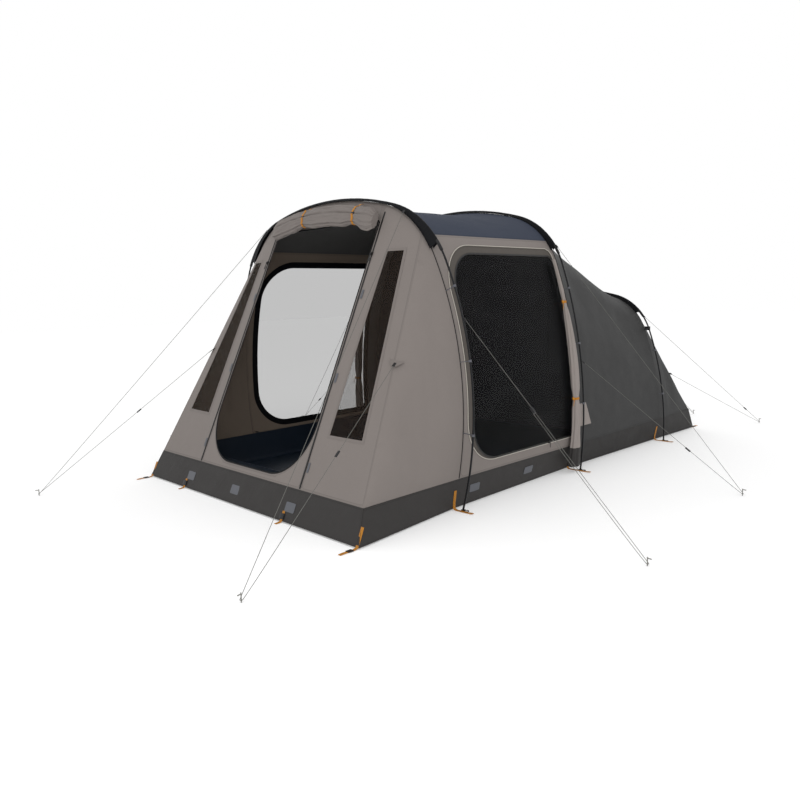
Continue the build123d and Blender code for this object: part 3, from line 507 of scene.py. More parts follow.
def distance(points, loops):
    """How far each point is from the nearest outline."""
    nearest = np.full(len(points), 1e9)
    for loop in loops:
        for a, b in zip(loop, np.roll(loop, -1, axis=0)):
            d = b - a
            t = np.clip(((points - a) @ d) / max(d @ d, 1e-12), 0, 1)
            nearest = np.minimum(nearest, np.linalg.norm(points - a - t[:, None] * d, axis=1))
    return nearest


def stepped(loop, step):
    """An outline with its long runs divided."""
    made = []
    for a, b in zip(loop, [*loop[1:], loop[0]]):
        a, b = np.array(a, float), np.array(b, float)
        count = max(1, round(float(np.linalg.norm(b - a)) / step))
        made += [a + (b - a) * i / count for i in range(count)]
    return np.array(made)


def rounded(x0, z0, x1, z1, radii):
    """A rectangle with a radius at each corner: low left, low right, top right, top left."""
    made = []
    corners = (
        (x0, z0, 1, 1, pi), (x1, z0, -1, 1, 1.5 * pi), (x1, z1, -1, -1, 0), (x0, z1, 1, -1, 0.5 * pi)
    )
    for (x, z, sx, sz, start), r in zip(corners, radii):
        cx, cz = x + sx * r, z + sz * r
        count = max(1, int(r / 0.02))
        made += [
            (cx + r * cos(start + pi / 2 * i / count), cz + r * sin(start + pi / 2 * i / count))
            for i in range(count + 1)
        ] if r else [(x, z)]
    return made


def cut_sheet(
    name, outline, holes, place, step, crease, finish_names, thick, centre=(0, 0, 0.5), lift=0.0
):
    """A sheet cut to an outline with holes in its own plane, then laid on its surface."""
    loops = [stepped(outline, step), *[stepped(h, step) for h in holes]]
    low, high = loops[0].min(axis=0), loops[0].max(axis=0)
    gx, gy = np.meshgrid(np.arange(low[0], high[0], step), np.arange(low[1], high[1], step * 0.87))
    gx = gx + (np.arange(gx.shape[0]) % 2)[:, None] * step / 2
    grid = np.stack([gx.ravel(), gy.ravel()], axis=1)
    keep = inside(grid, loops[0])
    for hole in loops[1:]:
        keep &= ~inside(grid, hole)
    grid = grid[keep]
    grid = grid[distance(grid, loops) > step * 0.55]
    flat = np.concatenate([*loops, grid])
    edges = []
    first = 0
    for loop in loops:
        count = len(loop)
        edges += [(first + i, first + (i + 1) % count) for i in range(count)]
        first += count
    out = delaunay_2d_cdt([Vector(p) for p in flat], edges, [], 0, 1e-6)
    points2 = np.array([list(p) for p in out[0]])
    middles = np.array([points2[list(f)].mean(axis=0) for f in out[2]])
    keep = inside(middles, loops[0])
    for hole in loops[1:]:
        keep &= ~inside(middles, hole)
    faces = [tuple(f) for f, k in zip(out[2], keep) if k]
    used = sorted({i for f in faces for i in f})
    index = {old: new for new, old in enumerate(used)}
    faces = [tuple(index[i] for i in f) for f in faces]
    points2 = points2[used]
    points = [place(u, v) for u, v in points2]
    near = distance(points2, loops)
    return thick_sheet(
        name, points, faces, list(points2), list(near), crease, finish_names, thick, centre, lift
    )


class Build:
    """Collects strips and tubes into one mesh."""

    def __init__(self):
        self.points, self.faces, self.uvs, self.marks = [], [], [], []

    def ring(self, sections, closed, caps, mark=0):
        """Skins a row of equal closed sections."""
        first, n = len(self.points), len(sections[0])
        run = 0.0
        for k, section in enumerate(sections):
            if k:
                run += (section[0] - sections[k - 1][0]).length
            girth = 0.0
            for i, p in enumerate(section):
                girth += (p - section[i - 1]).length if i else 0.0
                self.points.append(p)
                self.uvs.append((girth, run))
        rows = len(sections)
        for k in range(rows if closed else rows - 1):
            a, b = first + k * n, first + (k + 1) % rows * n
            for i in range(n):
                j = (i + 1) % n
                self.faces.append((a + i, a + j, b + j, b + i))
                self.marks.append(mark)
        if caps and not closed:
            for start, order in ((first, -1), (first + (rows - 1) * n, 1)):
                self.faces.append(tuple(range(start, start + n))[::order])
                self.marks.append(mark)

    def strap(self, route, across, width, thick, mark=0, closed=False):
        """A flat woven strap along a route; across is its width's direction."""
        sections = []
        count = len(route)
        for k, p in enumerate(route):
            back = route[k - 1] if k or closed else p
            ahead = route[(k + 1) % count] if k < count - 1 or closed else p
            t = (ahead - back).normalized()
            w = (across - t * across.dot(t)).normalized()
            n = t.cross(w)
            h, e = width / 2, thick / 2
            sections.append([
                p + w * a + n * b
                for a, b in ((-h, -e * 0.4), (-h * 0.94, -e), (h * 0.94, -e), (h, -e * 0.4),
                             (h, e * 0.4), (h * 0.94, e), (-h * 0.94, e), (-h, e * 0.4))
            ])
        self.ring(sections, closed, not closed, mark)

    def tube(self, route, radius, sides=10, closed=False, mark=0):
        """A round tube along a route."""
        sections = []
        count = len(route)
        w = None
        for k, p in enumerate(route):
            back = route[k - 1] if k or closed else p
            ahead = route[(k + 1) % count] if k < count - 1 or closed else p
            t = (ahead - back).normalized()
            w = t.orthogonal() if w is None else w
            w = (w - t * w.dot(t)).normalized()
            n = t.cross(w)
            sections.append([
                p + (w * cos(2 * pi * i / sides) + n * sin(2 * pi * i / sides)) * radius
                for i in range(sides)
            ])
        self.ring(sections, closed, not closed, mark)

    def make(self, name, *finish_names):
        piece = mesh_piece(name, self.points, self.faces, self.uvs, self.marks, finish_names)
        tidy = bmesh.new()
        tidy.from_mesh(piece.data)
        bmesh.ops.recalc_face_normals(tidy, faces=tidy.faces)
        tidy.to_mesh(piece.data)
        tidy.free()
        return piece


def mix(a, b, share):
    return a + (b - a) * share


def curve(points, count):
    """A smooth line through a few points, for straps."""
    made = []
    pts = [Vector(p) for p in points]
    for k in range(len(pts) - 1):
        p0, p1, p2, p3 = pts[max(k - 1, 0)], pts[k], pts[k + 1], pts[min(k + 2, len(pts) - 1)]
        for i in range(count):
            t = i / count
            made.append(
                0.5 * ((2 * p1) + (p2 - p0) * t + (2 * p0 - 5 * p1 + 4 * p2 - p3) * t * t
                       + (3 * p1 - p0 - 3 * p2 + p3) * t**3)
            )
    return [*made, pts[-1]]


# --- Where the cloth lies --------------------------------------------------------------
def wall_place(first, second, side, y, z, out=0.0):
    """A place on the wall between two arches, from its distance along the tent and height."""
    share = (y - first.y) / (second.y - first.y)
    low, high = 0.0, 4.0
    for _ in range(26):
        middle = (low + high) / 2
        if mix(first.at(middle, out).z, second.at(middle, out).z, share) < z:
            low = middle
        else:
            high = middle
    p = mix(first.at(low, out), second.at(low, out), share)
    return Vector((side * p.x, y, p.z))


def end_place(arch, y_low, half, x, z):
    """A place on a sloping end panel, from where it shows across the tent and its height."""
    side = -1 if x < 0 else 1
    x = abs(x)
    corner = arch.marks[2]
    low, high = corner - 0.35, pi / 2

    def look(angle):
        top = arch.point(angle)
        share = (top.z - z) / (top.z - SKIRT_Z)
        foot = half * (pi / 2 - angle) / (pi / 2 - corner) if half < 1.19 else foot_x(arch, angle, half)
        return mix(top.x, foot, share), mix(arch.y, y_low, share)

    for _ in range(34):
        middle = (low + high) / 2
        if look(middle)[0] > x:
            low = middle
        else:
            high = middle
    return Vector((side * x, look(low)[1], z))


def foot_x(arch, angle, half):
    """Where a thread of the front panel meets the skirt: the zips stay at the same width."""
    zip_angle = pi / 2 - asin(ZIP_X / arch.circles[2][2])
    if angle > zip_angle:
        return ZIP_X * (pi / 2 - angle) / (pi / 2 - zip_angle)
    return half + (ZIP_X - half) * (angle - arch.marks[2]) / (zip_angle - arch.marks[2])


def gusset_place(arch, y_low, corner, side, y, z):
    """A place on the gusset between a pole leg and the folded edge of an end panel."""
    share = min(0.9999, (y - arch.y) / (y_low - arch.y))
    height = (z - SKIRT_Z * share) / (1 - share)
    p = arch.point(arch.angle(height))
    return Vector((side * mix(p.x, corner, share), y, z))


def arch_line(arch, start, end, count):
    return [arch.point(start + (end - start) * i / count) for i in range(count + 1)]


def spaced(start, end, step):
    count = max(2, round(abs(end - start) / step))
    return [start + (end - start) * i / count for i in range(count + 1)]


def soft_folds(seed, depth, across, along, up):
    """Long soft folds that fade out towards the seams."""

    def crease(p, edge):
        wave = ripple(p, seed, across, along, up)
        small = ripple(p, seed + 7, across / 3, along / 3, up / 3)
        return depth * smooth(edge, 0.22) * (wave + 0.3 * small) - 0.4 * depth * smooth(edge, 0.4)

    return crease


def sagged(p):
    """How far the roof cloth hangs in between two poles at a place, from the pull of its seams."""
    first, second = CLOTH[:2] if p.y < CLOTH[1].y else CLOTH[1:]
    along = min(1.0, max(0.0, (p.y - first.y) / (second.y - first.y)))
    belly = 1 - (2 * along - 1) ** 4
    if first is CLOTH[0]:
        return 0.043 * belly * smooth(p.z - 1.72, 0.3)
    return 0.052 * belly * smooth(p.z - mix(1.0, 0.6, along), 0.5)


def tent():
    """The sizes that a user can change."""
    return bpy.context.scene.tent_sizes


# --- Pieces ----------------------------------------------------------------------------
class TENT_OT_finishes(bpy.types.Operator):
    """Makes the finishes and puts them on the poles, clips, zips, sliders and pegs"""

    bl_idname = "tent.finishes"
    bl_label = "Finishes and hardware"

    def execute(self, context):
        finishes(context.scene.tent_colours)
        groups = {
            "fibreglass rod": ["front_pole_legs", "front_pole_roof", "middle_pole_legs", "middle_pole_roof",
                               "rear_pole_legs", "rear_pole_roof"],
            "acetal plastic": ["pole_feet", "strap_buckles"],
            "grey clip plastic": ["pole_clips"],
            "zip coil": ["front_door_zips", "side_door_zips"],
            "galvanised peg": ["guy_pegs"],
            "zinc slider": [f"{s}_{n}" for s in SIDES for n in ("front_slider", "side_slider")],
        }
        groups["acetal plastic"] += [f"{s}_front_puller" for s in SIDES]
        groups["acetal plastic"] += [
            f"{s}_{n}_tensioner" for s in SIDES for n in ("front", "porch", "side", "rear")
        ]
        for title, names in groups.items():
            for name in names:
                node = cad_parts[name]
                if not node.material_slots:
                    node.data.materials.append(bpy.data.materials[title])
                for slot in node.material_slots:
                    slot.material = bpy.data.materials[title]
        return {"FINISHED"}


GUYS = {
    # Route of the right line, its length and what its far end does
    "front": ([(0.7912, -1.3328, 1.8923), (1.3434, -2.9786, 0.012), (1.3625, -2.9905, 0.012),
               (1.371, -2.9708, 0.012), (1.0772, -1.7264, 0.9539)], 4.181, "object"),
    "porch": ([(1.2757, -1.294, 1.2023), (2.5158, -1.3803, 0.012), (2.532, -1.3961, 0.012),
               (2.5136, -1.4093, 0.012), (1.8035, -1.3432, 0.6865)], 2.737, "knot"),
    "side": ([(1.0327, 0.0613, 1.6985), (2.4059, 0.1422, 0.012), (2.424, 0.1285, 0.012),
              (2.4075, 0.1132, 0.012), (1.2684, 0.0617, 0.8259)], 3.611, "object"),
    "rear": ([(1.0223, 1.4744, 1.1142), (1.5878, 2.8002, 0.012), (1.5816, 2.8218, 0.012),
              (1.5618, 2.8125, 0.012), (1.0901, 1.884, 0.551)], 3.022, "object"),
    "back": ([(0.3026, 1.4882, 1.3678), (0.8579, 2.9308, 0.012), (0.8505, 2.9523, 0.012),
              (0.8309, 2.9413, 0.012), (0.6866, 2.5448, 0.3738)], 2.646, "knot"),
}


class TENT_OT_guys(bpy.types.Operator):
    """Strings the ten guy lines from their tabs round their pegs"""

    bl_idname = "tent.guys"
    bl_label = "Guy lines"

    def execute(self, context):
        for name, (route, length, far) in GUYS.items():
            for side, sign in SIDES.items():
                line = bpy.data.curves.new(f"{side}_{name}_line", "CURVE")
                line.dimensions = "3D"
                line.bevel_depth = tent().guy / 2
                line.bevel_resolution = 2
                line.resolution_u = 10
                line.use_fill_caps = True
                spline = line.splines.new("NURBS")
                spline.points.add(len(route) - 1)
                for point, (x, y, z) in zip(spline.points, route):
                    point.co = (sign * x, y, z, 1)
                spline.order_u = 3
                spline.use_endpoint_u = True
                line.materials.append(bpy.data.materials["guy cord"])
                piece = bpy.data.objects.new(line.name, line)
                bpy.context.scene.collection.objects.link(piece)
                settle(piece, "guy", f"{side}_{name}_guy")
                start = (sign * route[0][0], *route[0][1:])
        return {"FINISHED"}


class TENT_OT_living_roof(bpy.types.Operator):
    """Stretches the blue-grey roof between the front and middle poles"""

    bl_idname = "tent.living_roof"
    bl_label = "Living area roof"

    def execute(self, context):
        first, second = CLOTH[:2]

        def crease(p, edge):
            return 0.006 * smooth(edge, 0.15) * ripple(p, 3, 0.5, 0.25, 0.4) - sagged(p)

        piece = grid_sheet(
            "living_roof_cloth", lambda s, t: mix(first.at(t), second.at(t), s),
            spaced(0, 1, 0.022), spaced(2, 6, 0.05), crease,
            ("roof polyester", "ceiling lining"), tent().cloth,
        )
        settle(piece, "roof_cloth", "living_roof")
        return {"FINISHED"}


DOOR = (-1.1875, 0.285, 0.0055, 1.625)
FRONT_CORNER, REAR_CORNER = 0.27, 0.04


def door_outline(front, low, rear, high):
    """The side doorway, grown on each edge; only its front corners are well rounded."""
    y0, z0, y1, z1 = DOOR
    grow = (front + high) / 2
    at_rear = REAR_CORNER + rear
    radii = (FRONT_CORNER + (front + low) / 2, at_rear, at_rear, FRONT_CORNER + grow)
    return rounded(y0 - front, z0 - low, y1 + rear, z1 + high, radii)


class TENT_OT_walls(bpy.types.Operator):
    """Hangs the two side walls with their doorways, facings, bindings and mesh doors"""

    bl_idname = "tent.walls"
    bl_label = "Side walls and doors"

    def execute(self, context):
        first, second = CLOTH[:2]
        outline = [(first.y, SKIRT_Z), (second.y, SKIRT_Z), (second.y, WALL_TOP), (first.y, WALL_TOP)]
        doorway = door_outline(0, 0, 0, 0)
        walls, pipes = {}, Build()
        for side, sign in SIDES.items():
            def place(y, z, out=0.0, sign=sign):
                return wall_place(first, second, sign, y, z, out)

            wall = cut_sheet(
                f"{side}_wall_cloth", outline, [doorway], place, tent().step,
                soft_folds(11 * sign, tent().slack * 0.55, 0.4, 0.22, 0.5),
                ("wall polyester", "wall lining"), tent().cloth,
            )
            settle(wall, "wall_cloth", f"{side}_wall")
            width, narrow = tent().facing, 0.014
            facing_edge = door_outline(width, narrow, narrow, width)
            facing = cut_sheet(
                f"{side}_door_facing", facing_edge, [door_outline(*[0.001] * 4)], place, 0.02, None,
                ("door facing", "door facing"), 0.0008, lift=0.0014,
            )
            settle(facing, "wall_cloth")
            inner = cut_sheet(
                f"{side}_door_binding", door_outline(*[tent().binding] * 4), [doorway], place, 0.02,
                None, ("sleeve nylon", "sleeve nylon"), 0.001, lift=-0.0026,
            )
            settle(inner, "wall_cloth")
            walls[side] = wall
            loop = [place(y, z, 0.0025) for y, z in stepped(facing_edge, 0.02)]
            pipes.tube(loop, tent().piping / 2, 8, closed=True)
        piping = pipes.make("door_piping", "pale piping")
        settle(piping, "wall_cloth")
        seams = Build()
        for arch in CLOTH[:2]:
            for sign in SIDES.values():
                line = [arch.point(arch.angle(z), 0.001) for z in spaced(0.205, 1.69, 0.03)]
                seams.tube([Vector((sign * p.x, p.y, p.z)) for p in line], 0.0026, 8)
        settle(seams.make("pole_seam_piping", "sleeve nylon"), "wall_cloth")
        for side, sign in SIDES.items():
            def place(y, z, sign=sign):
                return wall_place(first, second, sign, y, z)

            screen = cut_sheet(
                f"{side}_mesh_door", door_outline(*[-0.0006] * 4), [], place, 0.034,
                soft_folds(5 * sign, 0.014, 0.5, 0.9, 0.13), ("insect mesh", "insect mesh"), 0.0006,
            )
            settle(screen, "mesh", *(["side_door_mesh"] if sign > 0 else []))
        return {"FINISHED"}


class TENT_OT_front(bpy.types.Operator):
    """Hangs the sloping front with its door surround, side panels and clear windows"""

    bl_idname = "tent.front"
    bl_label = "Front end"

    def execute(self, context):
        arch = CLOTH[0]
        zip_angle = pi / 2 - asin(ZIP_X / arch.circles[2][2])

        def place(x, z):
            return end_place(arch, FRONT_SKIRT_TOP, CORNER_HALF, x, z)

        top = [(p.x, p.z) for p in arch_line(arch, zip_angle, pi - zip_angle, 50)]
        outline = [(-ZIP_X, SKIRT_Z), (ZIP_X, SKIRT_Z), *top]
        opening = rounded(-0.585, 0.245, 0.585, 1.862, (0.34, 0.34, 0.012, 0.012))
        surround = cut_sheet(
            "door_surround_cloth", outline, [opening], place, tent().step * 0.85,
            soft_folds(2, 0.004, 0.3, 0.4, 0.4), ("wall polyester", "wall lining"), tent().cloth,
        )
        settle(surround, "wall_cloth", "front_door_surround")
        edging = cut_sheet(
            "door_edge_binding", rounded(-0.588, 0.242, 0.588, 1.865, (0.343, 0.343, 0.015, 0.015)),
            [rounded(-0.579, 0.251, 0.579, 1.856, (0.334, 0.334, 0.006, 0.006))], place, 0.02, None,
            ("sleeve nylon", "sleeve nylon"), 0.003, lift=0.0012,
        )
        settle(edging, "wall_cloth")
        corner = arch.marks[2]
        side_top = [(p.x, p.z) for p in arch_line(arch, zip_angle, corner, 26)]
        pane = [(0.73, 0.53), (1.017, 0.53), (0.85, 1.65), (0.73, 1.65)]
        pane_seam = [(0.712, 0.512), (1.039, 0.512), (0.866, 1.668), (0.712, 1.668)]
        for side, sign in SIDES.items():
            def lay(x, z, sign=sign):
                return place(sign * x, z)

            outline = [(ZIP_X, SKIRT_Z), (CORNER_HALF, SKIRT_Z), *reversed(side_top)]
            panel = cut_sheet(
                f"{side}_front_panel_cloth", outline, [pane], lay, tent().step,
                soft_folds(17 + sign, tent().slack * 0.5, 0.35, 0.6, 0.6),
                ("wall polyester", "wall lining"), tent().cloth,
            )
            settle(panel, "wall_cloth", *(["front_side_panels"] if sign > 0 else []))
            window = cut_sheet(
                f"{side}_front_window", pane, [], lay, 0.04, None,
                ("window foil", "window foil"), 0.0006,
            )
            settle(window, "mesh", *(["front_window_mesh"] if sign > 0 else []))
            frame_tape = cut_sheet(
                f"{side}_window_frame", pane_seam, [pane], lay, 0.03, None,
                ("wall polyester", "wall polyester"), 0.0008, lift=0.0014,
            )
            settle(frame_tape, "wall_cloth")
        return {"FINISHED"}


class TENT_OT_gussets(bpy.types.Operator):
    """Hangs the four gussets between the outer pole legs and the folded corners"""

    bl_idname = "tent.gussets"
    bl_label = "Gussets"

    def execute(self, context):
        rows = (
            ("front", CLOTH[0], FRONT_SKIRT_TOP, CORNER_HALF, "wall", WALL_TOP,
             ("wall polyester", "wall lining")),
            ("rear", CLOTH[2], REAR_SKIRT_TOP, REAR_HALF, "bedroom", REAR_WALL_TOP,
             ("bedroom polyester", "ceiling lining")),
        )
        for end, arch, y_low, corner, slot, high, finish_names in rows:
            outline = [(arch.y, SKIRT_Z), (y_low, SKIRT_Z), (arch.y, high)]
            for side, sign in SIDES.items():
                def crease(p, edge, sign=sign):
                    pull = ripple(p, 23 + sign, 3, 0.2, 0.7) + 0.3 * ripple(p, 25 + sign, 1, 0.07, 0.3)
                    return tent().slack * smooth(edge, 0.16) * (1.9 * pull - 0.8)

                piece = cut_sheet(
                    f"{side}_{end}_gusset", outline, [],
                    lambda y, z, a=arch, yl=y_low, c=corner, s=sign: gusset_place(a, yl, c, s, y, z),
                    tent().step, crease, finish_names, tent().cloth,
                )
                # Far from any edge all over: a gusset's seams are hidden under its neighbours
                seams = piece.data.attributes["edge"].data
                seams.foreach_set("value", [1.0] * len(piece.data.vertices))
                first = side == "right" and end == "front"
                settle(piece, f"{slot}_cloth", *(["end_gussets"] if first else []))
        return {"FINISHED"}


class TENT_OT_bedroom(bpy.types.Operator):
    """Stretches the dark cloth over the bedroom and its sloping rear"""

    bl_idname = "tent.bedroom"
    bl_label = "Bedroom cloth"

    def execute(self, context):
        first, second = CLOTH[1:]
        dark = ("bedroom polyester", "ceiling lining")

        def slack_roof(p, edge):
            return 0.006 * smooth(edge, 0.15) * ripple(p, 9, 0.6, 0.3, 0.4) - sagged(p)

        roof = grid_sheet(
            "bedroom_roof_cloth", lambda s, t: mix(first.at(t), second.at(t), s),
            spaced(0, 1, 0.022), spaced(2, 6, 0.055), slack_roof, dark, tent().cloth,
        )
        settle(roof, "bedroom_cloth", "bedroom_roof")
        for side, sign in SIDES.items():
            def place(s, t, sign=sign):
                p = mix(first.at(t), second.at(t), s)
                return Vector((sign * p.x, p.y, p.z))

            def slack_wall(p, edge, folds=soft_folds(31 * sign, tent().slack, 0.5, 0.3, 0.35)):
                return folds(p, edge) - sagged(p)

            wall = grid_sheet(
                f"{side}_bedroom_wall", place, spaced(0, 1, 0.022), spaced(0, 2, 0.04), slack_wall,
                dark, tent().cloth,
            )
            settle(wall, "bedroom_cloth", *(["bedroom_walls"] if sign > 0 else []))
        arch = CLOTH[2]
        corner = arch.marks[2]
        top = [(p.x, p.z) for p in arch_line(arch, corner, pi - corner, 70)]
        rear = cut_sheet(
            "rear_panel_cloth", [(-REAR_HALF, SKIRT_Z), (REAR_HALF, SKIRT_Z), *top], [],
            lambda x, z: end_place(arch, REAR_SKIRT_TOP, REAR_HALF, x, z), tent().step * 1.1,
            soft_folds(41, tent().slack, 0.5, 0.6, 0.6), dark, tent().cloth,
        )
        settle(rear, "bedroom_cloth", "rear_panel")
        return {"FINISHED"}


def skirt_place(sign, y, share):
    """A place on the side skirt; share runs from the hem up to the top."""
    rows = [(FRONT_HEM, HEM_HALF[0] + 0.0034, HEM_HALF[0] + 0.0034),
            (FRONT_SKIRT_TOP, HEM_HALF[0] - 0.0026, CORNER_HALF + 0.0034)]
    rows += [(a.y, h, a.point(a.angle(0.2)).x) for a, h in zip(CLOTH, HEM_HALF[1:4])]
    rows += [(REAR_SKIRT_TOP, HEM_HALF[4] + 0.0034, REAR_HALF + 0.0034),
             (REAR_HEM, HEM_HALF[4] + 0.0034, HEM_HALF[4] + 0.0034)]
    for (y0, low0, top0), (y1, low1, top1) in zip(rows, rows[1:]):
        if y <= y1 + 1e-9:
            k = (y - y0) / (y1 - y0)
            tops = [0.014 if abs(v) > 2.15 else SKIRT_Z for v in (y0, y1)]
            top_z = mix(tops[0], tops[1], k)
            return Vector((
                sign * mix(mix(low0, low1, k), mix(top0, top1, k), share), y, mix(0.008, top_z, share)
            ))
    raise ValueError("a skirt has no place past the rear hem")


class TENT_OT_skirts(bpy.types.Operator):
    """Sews on the coated ground skirts"""

    bl_idname = "tent.skirts"
    bl_label = "Ground skirts"

    def execute(self, context):
        dark = ("skirt oxford", "ceiling lining")

        def crease(p, edge):
            return 0.005 * smooth(edge, 0.08) * ripple(p, 51, 0.22, 0.22, 0.3)

        stops = [FRONT_HEM, FRONT_SKIRT_TOP, *[a.y for a in CLOTH], REAR_SKIRT_TOP, REAR_HEM]
        ys = sorted({round(v, 5) for a, b in zip(stops, stops[1:]) for v in spaced(a, b, 0.035)})
        for side, sign in SIDES.items():
            piece = grid_sheet(
                f"{side}_skirt", lambda y, s, sign=sign: skirt_place(sign, y, s), ys,
                spaced(0, 1, 0.125), crease, (*dark, "bedroom skirt oxford"), 0.0014,
            )
            for face in piece.data.polygons:
                if face.material_index == 0 and face.center.y > CLOTH[1].y:
                    face.material_index = 2
            settle(piece, "skirt_cloth", *(["side_skirts"] if sign > 0 else []))
        ends = (("front", FRONT_SKIRT_TOP, CORNER_HALF, FRONT_HEM, HEM_HALF[0]),
                ("rear", REAR_SKIRT_TOP, REAR_HALF, REAR_HEM, HEM_HALF[4]))
        for end, y_top, half_top, y_hem, half_hem in ends:
            def place(u, v, a=y_top, b=half_top, c=y_hem, d=half_hem):
                return Vector((u * mix(d, b, v), mix(c, a, v), mix(0.009, SKIRT_Z + 0.0008, v)))

            outer = "skirt oxford" if end == "front" else "bedroom skirt oxford"
            piece = grid_sheet(f"{end}_skirt", place, spaced(-1, 1, 0.028), spaced(0, 1, 0.125), crease,
                               (outer, "ceiling lining"), 0.0014)
            settle(piece, "skirt_cloth", *(["end_skirts"] if end == "front" else []))
        return {"FINISHED"}


class TENT_OT_patches(bpy.types.Operator):
    """Puts the reflective patches on the skirts and beside the door zips"""

    bl_idname = "tent.patches"
    bl_label = "Reflective patches"

    def execute(self, context):
        half = tent().patch / 2
        patches = Build()

        def stick(place, u, v, w, h, lift):
            """A thin patch with cut corners that follows the cloth."""
            rows = []
            for a in (-1, -0.8, 0, 0.8, 1):
                cut = 0.86 if abs(a) == 1 else 1.0
                low, high = place(u + a * w, v - cut * h), place(u + a * w, v + cut * h)
                rows.append([low, high, high + lift, low + lift])
            patches.ring(rows, False, True)

        rise = SKIRT_Z - 0.009

        def front(x, z):
            share = (z - 0.009) / rise
            return Vector((x, mix(FRONT_HEM, FRONT_SKIRT_TOP, share) - 0.0015, z))

        for x in (-0.665, -0.065, 0.571):
            stick(front, x, 0.094, half * 1.75, half, Vector((0, -0.0016, 0.0008)))
        for sign in SIDES.values():
            for y in (-1.125, -0.53):
                stick(lambda u, z, s=sign: skirt_place(s, u, z / SKIRT_Z) + Vector((s * 0.0016, 0, 0)),
                      y, 0.105, half * 1.8, half, Vector((sign * 0.0016, 0, 0)))
            arch = CLOTH[0]
            for z in (1.38, 0.86, 0.33):
                stick(lambda x, v, s=sign: end_place(arch, FRONT_SKIRT_TOP, CORNER_HALF, s * x, v)
                      + Vector((0, -0.0016, 0.0006)), 0.628, z, 0.009, 0.028, Vector((0, -0.0014, 0.0006)))
        settle(patches.make("reflective_patches", "reflective tape"), "skirt_cloth")
        return {"FINISHED"}


class TENT_OT_sleeves(bpy.types.Operator):
    """Sews the black pockets that carry the poles over the roof"""

    bl_idname = "tent.sleeves"
    bl_label = "Pole sleeves"

    def execute(self, context):
        # Across the sleeve: distance from the pole's middle, then how far out it stands, or
        # None and the share of the way down to the roof where it is sewn flat
        profile = [(-0.021, None, 1.0), (-0.0165, None, 1.0), (-0.0135, None, 0.94),
                   (-0.0115, None, 0.5), (-0.0102, -0.001, 0), (-0.0094, 0.003, 0),
                   (-0.0078, 0.0064, 0), (-0.0045, 0.0088, 0), (0.0, 0.0096, 0)]
        profile += [(-w, o, k) for w, o, k in reversed(profile[:-1])]
        ends = (("front", 0, 1.69), ("middle", 1, 1.7), ("rear", 2, 1.17))
        for name, index, z in ends:
            arch = POLES[index]
            start = arch.angle(z)

            def place(u, v, arch=arch, cloth=CLOTH[index]):
                w, out, share = profile[int(round(v))]
                if out is None:
                    normal = Vector((cos(u), 0, sin(u)))
                    drop = (arch.point(u) - cloth.point(u)).dot(normal) - 0.0022
                    out = -drop * share
                ruck = 0.0012 * ripple(Vector((u * 3, w * 60, 0)), 61, 0.03, 1, 1)
                p = arch.point(u, out + ruck)
                return Vector((p.x, p.y + w + ruck, p.z))

            piece = grid_sheet(
                f"{name}_sleeve", place, spaced(start, pi - start, 0.011), list(range(len(profile))),
                None, ("sleeve nylon", "sleeve nylon"), 0.001, (0, arch.y, 0.3),
            )
            settle(piece, "sleeve", *(["pole_sleeves"] if name == "front" else []))
        self.cuffs(ends)
        return {"FINISHED"}

    def cuffs(self, ends):
        """A bound cuff round the pole at each end of a sleeve, and a keeper loop on the rear pole."""
        made = Build()
        for _, index, z in ends:
            arch = POLES[index]
            for sign in SIDES.values():
                line = [arch.point(arch.angle(z + d)) for d in (0.012, 0.0, -0.02, -0.045, -0.05)]
                route = [Vector((sign * p.x, p.y, p.z)) for p in line]
                made.tube(route, 0.0105, 16)
        arch, cloth, z = POLES[2], CLOTH[2], KEEPER_Z
        inner, outer = cloth.point(cloth.angle(z)), arch.point(arch.angle(z))
        half_loop = [(inner.x + 0.001, 0.0012), (outer.x - 0.012, 0.002), (outer.x - 0.004, 0.0102),
                     (outer.x + 0.004, 0.0102), (outer.x + 0.011, 0.004)]
        loop = half_loop + [(x, -d) for x, d in reversed(half_loop)]
        for sign in SIDES.values():
            route = curve([(sign * x, arch.y + d, z) for x, d in loop], 4)
            made.strap(route, Vector((0, 0, 1)), 0.034, 0.0014)
        settle(made.make("sleeve_cuffs", "black webbing"), "sleeve")


LEAN_RUN, LEAN_FALL = 0.4023, 0.9155  # the front's slope: run forwards and fall, per metre
ROLL_SLOPE = Vector((0, -LEAN_RUN, -LEAN_FALL))
ROLL_OUT = Vector((0, -LEAN_FALL, LEAN_RUN))
ROLL_ENDS = (-0.555, 0.59)
ROLL_Y = -1.3903
ROLL_ARC, ROLL_ARC_Z = 2.518, -0.574  # the arc under the crown that the roll follows


